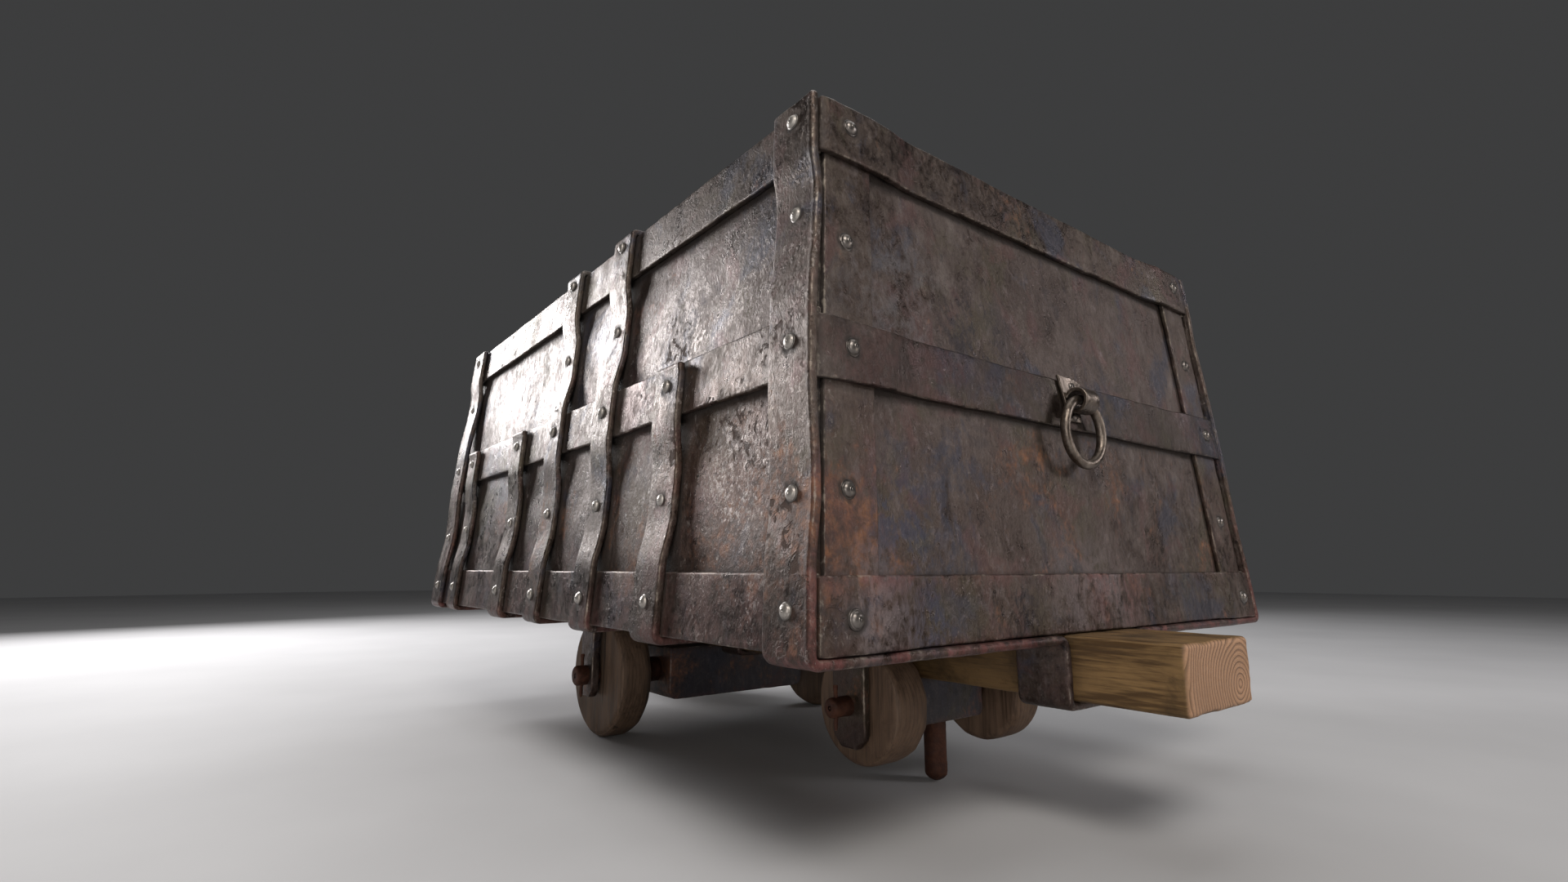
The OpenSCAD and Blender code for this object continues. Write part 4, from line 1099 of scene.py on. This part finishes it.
# ---------------------------------------------------------------- rivets
def rivet_shell(g, centre, normal, n, hd=18.0, hh=6.0, d=10.0, tail=3.5, seed=0, small=1.0, high=0.74, lump=0.16, power=0.72):
    """One rivet: a hammered dome on a thin collar, its shank and the tail inside. centre is on the outer face."""
    r = np.random.RandomState(seed)
    R = hd / 2 * r.uniform(0.92, 0.99) * small
    hh = hh * high * r.uniform(0.92, 1.06)
    prof = [(0, hh)]
    for a in np.linspace(12, 84, 7):
        prof.append((R * 0.86 * math.sin(math.radians(a)), hh * math.cos(math.radians(a)) ** power))
    prof += [(R * 0.93, 0.62), (R * 1.02, 0.38), (R * 1.06, -0.1), (R * 1.04, -1.2), (d / 2, -1.3), (d / 2, -n + 0.8)]
    tr = (hd - 3) / 2
    prof += [(tr * 0.98, -n + 0.8), (tr, -n - 0.4), (tr * 0.8, -n - tail * 0.62), (tr * 0.45, -n - tail * 0.93), (0, -n - tail)]
    Rr, T, TH, q, t = lathe(prof, 22)
    nrm = np.asarray(normal, float)
    nrm = nrm / np.linalg.norm(nrm)
    up = np.array([0, 0, 1.0]) if abs(nrm[2]) < 0.9 else np.array([1.0, 0, 0])
    u = np.cross(up, nrm)
    u /= np.linalg.norm(u)
    v = np.cross(nrm, u)
    off = r.uniform(-0.35, 0.35, 2)
    el = r.uniform(0.96, 1.04)
    X = Rr * np.cos(TH) * el + off[0] * (T > 0.7)
    Y = Rr * np.sin(TH) / el + off[1] * (T > 0.7)
    L = np.stack([X, Y, T], 1)
    wob = fbm(L + seed * 3.7, 8.0, seed, 2) * lump
    dome = (T > 0.3)
    T2 = T + wob * dome - 0.1
    V = np.asarray(centre, float) + np.outer(X, u) + np.outer(Y, v) + np.outer(T2, nrm)
    # painted shade: the collar at the foot of each rivet head is darkened
    collar = (T > -1.3) & (T <= 0.65)
    g.add(V, q, t, edge=1.12 * np.clip(T / hh, 0, 1) ** 1.4, grime=collar * 0.9)


def at_side(sgn, x, z, o):
    n = np.array([0, math.cos(AY), math.sin(AY)])
    p = np.array([x, ys(DECK + z), DECK + z]) + n * o * math.cos(AY)
    n = n * np.array([1, sgn, 1])
    p = p * np.array([1, sgn, 1])
    return p, n


def at_end(e, y, z, o):
    n = np.array([math.cos(AX), 0, math.sin(AX)])
    p = np.array([xs(DECK + z), y, DECK + z]) + n * o * math.cos(AX)
    f = np.array([e, 1, 1])
    return p * f, n * f


g = Geo()
k = 0
for sgn in (1, -1):
    for x in HOOPS:
        for z, o, n in ((31, 9, 22), (145, 1, 14), (265, 9, 22), (377, 1, 14), (497, 9, 31)):
            k += 1
            rivet_shell(g, *at_side(sgn, x, z, o - 0.5), n, seed=k, small=0.87)
    for x, _ in HALVES:
        for z, o, n in ((33, 9, 22), (140, 1, 14), (265, 9, 22)):
            k += 1
            rivet_shell(g, *at_side(sgn, x, z, o - 0.4), n, seed=k, small=0.87)
    for e in (1, -1):
        for z, o, n in ((34, 9, 22), (128, 4.4, 17), (261, 9, 22), (389, 3.2, 16), (488, 9, 22)):
            k += 1
            rivet_shell(g, *at_side(sgn, e * xs(DECK + z, -32), z, o - 0.4), n, seed=k, small=0.84)
g.build("side_rivets", "cart", M_RIVET_SIDE_SHEEN, "rivet_steel", "side_rivets")

g = Geo()
for e in (1, -1):
    for s2 in (1, -1):
        for z, o, n in ((28, 0, 19), (133, -8, 16), (257.5, 0, 24), (365, -8, 16), (484.5, 0, 24)):
            k += 1
            rivet_shell(g, *at_end(e, s2 * end_rivet_y(z), z, o - 0.7), n, seed=k, high=0.88, lump=0.07, power=0.9)
rivet_shell(g, *at_end(1, 0, 240, -2), 17, hd=10, hh=3.5, d=6, tail=2.5, seed=901)
rivet_shell(g, *at_end(1, 2, 277, -2), 17, hd=12, hh=4, d=6, tail=2.5, seed=902)
g.build("end_rivets", "cart", M_RIVET_END, "rivet_steel", "end_rivets")

g = Geo()
for s2 in (1, -1):
    for x, y, h, n in [(FRONT_X + d, 144 + 10 + 28, 10, 35) for d in (-15, 15)] + [(REAR_X + d, 258 + 13 + 30, 13, 38) for d in (-12, 12)]:
        k += 1
        rivet_shell(g, np.array([x, s2 * y, DECK - h + 0.2]), np.array([0, 0, -1.0]), n, seed=k)
g.build("bracket_rivets", "cart", M_RUST, "rusty_iron", "bracket_rivets")


# ---------------------------------------------------------------- timber
def timber(g, X, Y, Z, r, seed, step_x=9, step_y=7, step_z=7, rough=0.8, worn=2.2, place=None, ends=True, **attrs):
    """A sawn timber with softened, chipped edges and a slightly uneven face. It never grows past its size."""
    s, a, h, d2, q = slab((*X, step_x), (*Y, step_y), (*Z, step_z), r)
    P = np.stack([s, a, h], 1)
    c = np.array([(X[0] + X[1]) / 2, (Y[0] + Y[1]) / 2, (Z[0] + Z[1]) / 2])
    hs = np.array([(X[1] - X[0]) / 2, (Y[1] - Y[0]) / 2, (Z[1] - Z[0]) / 2])
    u = (P - c) / hs
    G = P * np.array([0.16, 1, 1])
    base = rough * (0.5 + 0.5 * fbm(G, 16, seed, 3))
    chip = np.maximum(fbm(P * np.array([0.5, 1, 1]), 26, seed + 3, 3) - 0.02, 0) * worn * np.exp(-d2 / 5.0) * 1.5
    depth = base + chip
    V = P.copy()
    for k3 in range(3):
        face = np.abs(u[:, k3]) > 0.999 - 0.5 * r / hs[k3]
        near = np.clip((np.abs(P[:, k3] - c[k3]) - (hs[k3] - r)) / r, 0, 1)
        V[:, k3] -= np.sign(P[:, k3] - c[k3]) * depth * near * (1.0 if (k3 or ends) else 0.4)
    if place is not None:
        V = place(V)
    extra = {kk: (f(V) if callable(f) else f) for kk, f in attrs.items()}
    g.add(V, q, edge=np.clip(1 - d2 / 9.0, 0, 1), **extra)


# painted shade on the long beam: darker where it runs under the box, and more just outside the box's ends
def beam_painted_shade(V):
    x, y, z = V.T
    g = 0.85 * np.exp(-np.maximum(590 - x, 0) / 1.0) * 0
    cover = np.minimum(step(610 - np.abs(x), 0, 60), 1.0)
    side = np.exp(-np.maximum(np.abs(x) - 596, 0) / 14.0) * (np.abs(x) > 590) * 0.75
    top = step(z, 168, 203) * np.exp(-np.maximum(np.abs(x) - 596, 0) / 70.0) * 0.35
    return np.clip(np.maximum(cover * 0.55, np.maximum(side, top)), 0, 1)


g = Geo()
timber(g, (-710, 710), (-70, 70), (137, 203), 5.5, 2000, step_x=8, step_y=6.5, step_z=6, rough=0.6, worn=2.6, grime=beam_painted_shade, tone=lambda V: step(np.abs(V[:, 0]), 705.5, 708.8))
g.build("long_beam", "cart", M_BEAM, "beam_wood", "long_beam")

plank_w = (2 * (409 - 13 - 4) - 8.0) / 5
for i in range(5):
    g = Geo()
    y0 = -2.5 * plank_w - 4 + i * (plank_w + 2)
    # painted shade, with some dirt: the planks are darker near the walls and at their ends
    timber(g, (-572, 572), (y0, y0 + plank_w), (203, 228), 2.2, 2100 + i, step_x=10, step_y=9, step_z=8, rough=1.6, worn=2.2,
           grime=lambda V: np.clip(0.25 + 0.5 * np.exp(-np.abs(np.abs(V[:, 1]) - 392) / 30) + 0.5 * np.exp(-np.abs(np.abs(V[:, 0]) - 572) / 40), 0, 1))
    g.build(f"floor_plank_{i + 1}", "cart", M_PLANK, "plank_wood", f"floor_plank_{i + 1}")


# ---------------------------------------------------------------- axle blocks and brackets
def block(name, x0, L, W, zb, R, seed):
    g = Geo()
    s, a, h, d2, q = slab((-L / 2, L / 2, 7), (-W, W, 7), (zb, 137, 6), 3.0)
    P = np.stack([x0 + s, a, h], 1)
    for sg in (1, -1):
        cy, cz = sg * (W - R), zb + R
        vy, vz = (a - cy) * sg, cz - h
        m = (vy > 0) & (vz > 0)
        big = np.maximum(vy, vz)[m]
        ln = np.hypot(vy, vz)[m] + 1e-9
        P[m, 1] = cy + sg * vy[m] * big / ln
        P[m, 2] = cz - vz[m] * big / ln
    n = 0.5 + 0.5 * fbm(P, 26, seed, 3)
    nick = np.maximum(fbm(P, 14, seed + 1, 2), 0) * np.exp(-d2 / 3.0) * 1.8
    c = np.array([x0, 0, (zb + 137) / 2])
    d = P - c
    hs = np.array([L / 2, W, (137 - zb) / 2])
    V = P.copy()
    for k3 in range(3):
        near = np.clip((np.abs(d[:, k3]) - (hs[k3] - 3)) / 3, 0, 1)
        V[:, k3] -= np.sign(d[:, k3]) * near * (0.9 * n + nick)
    # painted shade at the top of the block, under the beam
    g.add(V, q, edge=np.clip(1 - d2 / 8.0, 0, 1), grime=0.6 * step(V[:, 2], 118, 137), red=0.35 * np.clip(1 - d2 / 9.0, 0, 1))
    g.build(name, "cart", M_BLOCK, "block_iron", name)


block("front_axle_block", FRONT_X, 66, 61, 78, 10, 2200)
block("rear_axle_block", REAR_X, 100, 143, 51.5, 16, 2240)


def bracket(name, x0, y0, w, t, zl, foot, cut, sgn, seed):
    """A plate bent out at the top into a foot below the floor; its lower corners are cut off."""
    pts = [(y0, zl), (y0, DECK), (y0 + t + foot, DECK)]
    # the line runs up the inner face and out along the underside of the floor; outward is to the right of it
    s_tab, o = path(pts, [6.0 + t])
    g = Geo()

    def place(s, a, h):
        y = np.interp(s, s_tab, o[:, 0])
        z = np.interp(s, s_tab, o[:, 1])
        ny = np.interp(s, s_tab, o[:, 2])
        nz = np.interp(s, s_tab, o[:, 3])
        half = w / 2 - cut * np.clip(1 - s / cut, 0, 1)
        end = s_tab[-1] - s
        half = np.minimum(half, w / 2 - 6 * np.clip(1 - end / 6.0, 0, 1))
        return np.stack([x0 + a * half / (w / 2), sgn * (y - ny * h), z - nz * h], 1)

    # painted shade at the top of the bracket, under the floor
    forged(g, (0, s_tab[-1], s_tab), (-w / 2, w / 2, 5.5), (0, t, 2.6), 2.6, place, seed, face=0.0, edge=0.5,
           grime=lambda V: 0.6 * step(V[:, 2], 150, 200), red=0.12)
    g.build(name, "cart", M_STRAP, "strap_iron", name)


for sgn, sn in ((1, "left"), (-1, "right")):
    bracket(f"front_{sn}_bracket", FRONT_X, 144.0, 56, 10, 60, 54, 15, sgn, 2300 + sgn)
    bracket(f"rear_{sn}_bracket", REAR_X, 258.0, 46, 13, 65, 58, 10, sgn, 2320 + sgn)


# ---------------------------------------------------------------- axles, pins, bolts
def turned(g, prof, seg, origin, direction, seed, rough=0.25, grime=None, edge=None):
    R, T, TH, q, t = lathe(prof, seg)
    d = {"X": 0, "Y": 1, "Z": 2}[direction[-1]]
    sg = -1 if direction[0] == "-" else 1
    u, v = [(1, 2), (0, 2), (0, 1)][d]
    V = np.zeros((len(R), 3))
    V[:, u] = R * np.cos(TH)
    V[:, v] = R * np.sin(TH)
    V[:, d] = sg * T
    n = fbm(V + seed, 7.0, seed, 3)
    k = 1 - rough * (0.5 + 0.5 * n) * 2 / np.maximum(R, 3.0)
    V[:, u] *= k
    V[:, v] *= k
    V = V + np.asarray(origin, float)
    g.add(V, q, t, edge=0.0 if edge is None else edge(R, T), grime=0.0 if grime is None else grime(R, T))
    return g


for sgn, sn in ((1, "left"), (-1, "right")):
    for nm, x0, z0, d, y0, yc, yw, y1 in (("front", FRONT_X, FRONT_Z, 24, 20, 61, 85.5, 183), ("rear", REAR_X, REAR_R, 32, 60, 143, 196, 290)):
        r = d / 2
        prof = [(0, y0), (r - 1, y0), (r, y0 + 1), (r, yc + 0.2), (r + 4.2, yc + 0.2), (r + 5, yc + 1), (r + 5, yw - 2.5), (r + 4.2, yw - 1.6), (r, yw - 1.6)]
        prof += [(r, y1 - 3.2), (r - 0.8, y1 - 1.5), (r - 2.4, y1 - 0.4), (r * 0.55, y1 - 0.2), (0, y1 - 0.6)]
        prof = fan(prof, 5.0)
        g = Geo()
        turned(g, prof, 40, (x0, 0, z0), "-Y" if sgn < 0 else "Y", 2400 + sgn, rough=0.45, edge=lambda R, T, r=r, y1=y1: np.exp(-np.abs(T - y1 + 2) / 1.5) * (R > r * 0.6))
        g.build(f"{nm}_{sn}_axle", "cart", M_RUST, "rusty_iron", f"{nm}_{sn}_axle")

g = Geo()
for sgn in (1, -1):
    for x0, y0, z0, hl, r in ((FRONT_X, 173.0, FRONT_Z, 26.0, 3.0), (REAR_X, 278.0, REAR_R, 34.0, 3.5)):
        prof = [(0, hl), (r * 0.7, hl - 0.2), (r, hl - 1.2), (r, hl - 4), (r * 0.86, hl - 6), (r * 0.86, -hl + 6), (r * 0.7, -hl + 1.5), (r * 0.45, -hl + 0.3), (0, -hl)]
        R, T, TH, q, t = lathe(fan(prof, 4.0), 14)
        bend = 0.8 * np.sin((T + hl) / (2 * hl) * math.pi)
        V = np.stack([x0 + R * np.cos(TH) + bend * 0.4, sgn * (y0 + R * np.sin(TH) * 0.95 + 0.2), z0 + T], 1)
        V += 0.22 * np.stack([fbm(V, 6, 11, 2), fbm(V, 6, 12, 2), np.zeros(len(V))], 1)
        g.add(V, q, t, edge=np.clip(1 - (hl - np.abs(T)) / 4.0, 0, 1))
g.build("linchpins", "cart", M_RUST, "rusty_iron", "linchpins")

g = Geo()
prof = [(0, 0)] + [(17 * math.sin(math.radians(a)) if 17 * math.sin(math.radians(a)) < 15 else 15, 17 - 17 * math.cos(math.radians(a))) for a in (12, 24, 36, 47, 56)]
prof += [(14.7, 9.6), (15, 12), (15, 77.4), (10, 77.6), (10, 190), (9, 192.5), (0, 193)]
# painted shade on the pin's collar just below the axle block
turned(g, fan(prof, 5.0), 36, (FRONT_X, 0, 0), "Z", 2500, rough=0.5, grime=lambda R, T: 0.5 * step(T, 60, 78))
g.build("guide_pin", "cart", M_RUST, "rusty_iron", "guide_pin")

g = Geo()
prof = [(0, 45.6), (5, 46.0), (9, 47.4), (12, 49.2), (13.8, 51.3), (13.8, 51.7), (8, 51.8), (8, 190), (7, 192.5), (0, 193)]
turned(g, fan(prof, 6.0), 32, (REAR_X, 0, 0), "Z", 2520, rough=0.35)
g.build("king_bolt", "cart", M_RUST, "rusty_iron", "king_bolt")


# ---------------------------------------------------------------- wheels
def wheel(name, body, mat, x0, z0, R0, y0, T0, d, ro, ri, sgn, seed, nodes):
    prof = []
    rb = d / 2 + 0.35
    prof += [(rb, 0.8), (rb + 0.8, 0.0)]
    prof += arc(R0 - ri, ri, ri, -90, 0, 11)
    prof += arc(R0 - ro, T0 - ro, ro, 0, 90, 9)
    prof += [(rb + 0.8, T0), (rb, T0 - 0.8)]
    prof = fan(prof, 5.5)
    prof = fan(prof + [prof[0]], 7.0)[:-1]
    N = 168
    R, T, TH, q, t = lathe(prof, N)
    c, s = np.cos(TH), np.sin(TH)
    P = np.stack([R * c, T, R * s], 1)
    out = step(R, R0 * 0.55, R0 - 1)
    bottom = step(np.abs(np.angle(np.exp(1j * (TH + math.pi / 2)))), 0.10, 0.45)
    rim = fbm(np.stack([R0 * c, T * 0.5, R0 * s], 1), 42, seed, 3)
    facet = np.abs(np.sin(TH * 6.5 + 0.5 * seed)) ** 0.8
    corner_in = np.exp(-(np.hypot(R - (R0 - 3), T - 3) / (ri * 0.8)) ** 2)
    corner_out = np.exp(-(np.hypot(R - (R0 - 2), T - T0 + 2) / (ro * 0.8)) ** 2)
    dr = out * (0.9 * (0.5 + 0.5 * rim) + 0.35 * (0.5 + 0.5 * fbm(P, 12, seed + 2, 2)))
    dr = dr * (0.15 + 0.85 * bottom)
    dr = dr + 2.4 * corner_in * (0.35 + 0.65 * facet) + 1.5 * corner_out * (0.4 + 0.6 * (0.5 + 0.5 * fbm(P, 30, seed + 5, 2)))
    R2 = np.maximum(R - dr, rb)
    ft = (0.5 + 0.5 * fbm(P, 24, seed + 7, 3)) * 0.9 * step(R, rb + 2, rb + 12)
    low = np.clip(1 - T / 3.0, 0, 1)
    high = np.clip(1 - (T0 - T) / 3.0, 0, 1)
    T2 = T + ft * low - ft * high
    V = np.stack([x0 + R2 * c, sgn * (y0 + T2), z0 + R2 * s], 1)
    e = np.maximum(np.exp(-np.hypot(R - (R0 - ro * 0.3), T - T0 + ro * 0.3) / 4.5), np.exp(-np.hypot(R - (R0 - ri * 0.3), T - ri * 0.3) / 5.0))
    # painted shade, with some dirt, on the wheel faces round the bore
    shade_dirt = np.clip(np.exp(-(R - rb) / 9.0) * 0.9, 0, 1)
    g = Geo()
    g.add(V, q, t, edge=e, grime=shade_dirt)
    g.build(name, body, mat, "wheel_wood", *nodes)


for sgn, sn in ((1, "left"), (-1, "right")):
    wheel(f"front_{sn}_wheel", f"front_{sn}_wheel", M_WHEEL_FRONT_LIT, FRONT_X, FRONT_Z, FRONT_R, FRONT_Y, FRONT_T, 24, 9, 9, sgn, 2600 + sgn, [f"front_{sn}_wheel"])
    wheel(f"rear_{sn}_wheel", f"rear_{sn}_wheel", M_WHEEL_REAR_SHADED, REAR_X, REAR_R, REAR_R, REAR_Y, REAR_T, 32, 10, 18, sgn, 2620 + sgn, [f"rear_{sn}_wheel"])


# ---------------------------------------------------------------- staple and ring
KZ = DECK + 257.0
KX = xs(KZ, -STRIP + 15.03 / math.cos(AX))
RING_R, WIRE = 37.5, 6.0
DROP = RING_R - 1.4


def tilt(V):
    """Local x outward, y across, z up along the slanted end, about the knuckle."""
    ca, sa = math.cos(AX), math.sin(AX)
    x = V[:, 0] * ca - V[:, 2] * sa
    z = V[:, 0] * sa + V[:, 2] * ca
    return np.stack([KX + x, V[:, 1], KZ + z], 1)


g = Geo()
# leaf: thickness 4, narrow at the knuckle, flared to a slanted top
s, a, h, d2, q = slab((0, 55, 4), (-15, 15, 4), (0, 4, 1.6), 1.3)
zl = -22 + s
lw = np.interp(zl, [-22, -6, 0, 10, 33], [14, 14, 14.5, 17, 23.5])
rw = np.interp(zl, [-22, -6, 0, 10, 27, 33], [14, 14, 14.5, 17, 21.5, 20])
y = np.where(a < 0, a / 15 * lw, a / 15 * rw)
top = np.interp(y, [-24, 2, 22], [33, 31, 26.5])
zz = -22 + s / 55 * (top + 22)
corner = 2.2 * np.exp(-((zz + 22) / 5.0) ** 2) * (np.abs(a) > 11) * 0.6
xx = -15 + h + 2.0 * np.exp(-((zz - 30) / 7.0) ** 2) * (y > -8) * 0.9 + 0.25 * fbm(np.stack([zz, y, h], 1), 9, 5, 2)
# painted shade on the leaf near the knuckle
g.add(tilt(np.stack([np.maximum(xx, -15.0 + 0 * xx), y * (1 - 0.0), zz + corner * 0], 1)), q, edge=np.clip(1 - d2 / 3.5, 0, 1), red=0.0, grime=0.35 * np.exp(-np.abs(zz) / 9.0))
# strap bent round the ring
A0, A1 = math.radians(158), math.radians(-172)
s, a, h, d2, q = slab((0, 76, 2.2), (-15, 15, 3.0), (10.1, 14.8, 1.6), 1.5)
th = A0 + (A1 - A0) * s / 76
wid = 1.0 - 0.08 * np.sin(s / 76 * math.pi)
rr = h + 0.25 * fbm(np.stack([s, a, h], 1), 8, 9, 2)
g.add(tilt(np.stack([rr * np.cos(th), a * wid, rr * np.sin(th)], 1)), q, edge=np.clip(1 - d2 / 3.0, 0, 1))
g.build("staple", "cart", M_RING, "ring_iron", "staple")

g = Geo()
N, M2 = 128, 20
th = np.repeat(np.arange(N) * 2 * math.pi / N, M2)
ph = np.tile(np.arange(M2) * 2 * math.pi / M2, N)
P = np.stack([35 * np.cos(th), 35 * np.sin(th), 0 * th], 1)
rw_ = WIRE - 0.42 * (0.5 + 0.5 * fbm(P, 16, 41, 3)) - 0.22 * (0.5 + 0.5 * np.cos(ph * 3 + th * 2))
rc = RING_R - 0.25 * (0.5 + 0.5 * fbm(P, 60, 44, 2))
V = np.stack([KX + rw_ * np.sin(ph), (rc + rw_ * np.cos(ph)) * np.cos(th), KZ - DROP + (rc + rw_ * np.cos(ph)) * np.sin(th)], 1)
ix = np.arange(N * M2).reshape(N, M2)
ix = np.concatenate([ix, ix[:1]], 0)
ix = np.concatenate([ix, ix[:, :1]], 1)
g.add(V, grid(ix), edge=np.clip(0.5 + 0.5 * np.cos(ph), 0, 1) * 0.5)
g.build("ring", "ring", M_RING, "ring_iron", "ring")


# ---------------------------------------------------------------- floor, light, camera
def floor():
    me = bpy.data.meshes.new("studio_floor")
    n = 24
    r = 9.0
    v = [(r * math.cos(i * 2 * math.pi / n), r * math.sin(i * 2 * math.pi / n), -0.0005) for i in range(n)]
    me.from_pydata(v, [], [list(range(n))])
    m = Mat("floor_paint")
    c = m.ramp(m.noise(3.0, 4, 0.5), [(0.3, (0.52, 0.52, 0.53)), (0.7, (0.56, 0.56, 0.57))])
    m.done(c, 0.75, 0.0, m.bump(m.noise(160, 3, 0.5), 0.0003, 0.3), spec=0.25)
    me.materials.append(m.m)
    ob = bpy.data.objects.new("studio_floor", me)
    bpy.context.scene.collection.objects.link(ob)


floor()


def area(name, loc, target, size, power, color=(1, 1, 1)):
    d = bpy.data.lights.new(name, "AREA")
    d.shape = "RECTANGLE"
    d.size, d.size_y = size
    d.energy = power
    d.color = color
    ob = bpy.data.objects.new(name, d)
    ob.location = loc
    ob.rotation_euler = (Vector(target) - Vector(loc)).to_track_quat("-Z", "Y").to_euler()
    bpy.context.scene.collection.objects.link(ob)
    return ob


area("soft_key", (2.5, -1.5, 2.5), (0.35, 0.0, 0.3), (1.4, 1.0), 56, (1.0, 0.95, 0.89))
area("side_sheen", (-3.0, -1.15, 1.62), (0.0, -0.35, 0.5), (0.9, 1.0), 90, (1.0, 0.98, 0.98))
area("end_fill", (2.75, 2.25, 1.45), (0.5, 0.05, 0.35), (0.75, 0.65), 20, (1.0, 0.965, 0.98))
area("top_soft", (0.0, 0.4, 3.4), (0.0, 0.0, 0.3), (2.6, 2.6), 32, (1.0, 0.99, 0.98))
area("rear_fill", (-2.3, 2.7, 1.9), (0.0, 0.3, 0.4), (1.8, 1.4), 34, (0.98, 0.98, 1.0))
area("low_fill", (2.3, -2.3, 0.55), (0.1, 0.0, 0.15), (1.4, 0.6), 14, (1.0, 0.97, 0.94))
area("low_warm", (2.2, 0.9, 0.30), (0.30, 0.0, 0.08), (0.8, 0.35), 2.6, (1.0, 0.88, 0.76))

w = bpy.data.worlds.new("studio_world")
w.use_nodes = True
bg = w.node_tree.nodes.get("Background") or w.node_tree.nodes.new("ShaderNodeBackground")
bg.inputs[0].default_value = (0.62, 0.625, 0.635, 1)
bg.inputs[1].default_value = 0.075
bpy.context.scene.world = w

cam = bpy.data.cameras.new("camera")
cam.sensor_fit = "HORIZONTAL"
cam.sensor_width = 36.0
cam.lens = 16.66
cam.clip_start, cam.clip_end = 0.02, 60
co = bpy.data.objects.new("camera", cam)
fwd = Vector((-0.77917, 0.60267, 0.17228)).normalized()
right = Vector((0.6118, 0.7910, 0.0)).normalized()
up = right.cross(fwd).normalized()
rot = Matrix((right, up, -fwd)).transposed().to_4x4()
co.matrix_world = Matrix.Translation((1.02393, -0.77066, 0.27093)) @ rot
bpy.context.scene.collection.objects.link(co)
bpy.context.scene.camera = co

bpy.context.scene.view_settings.view_transform = "Standard"
bpy.context.scene.view_settings.look = "None"
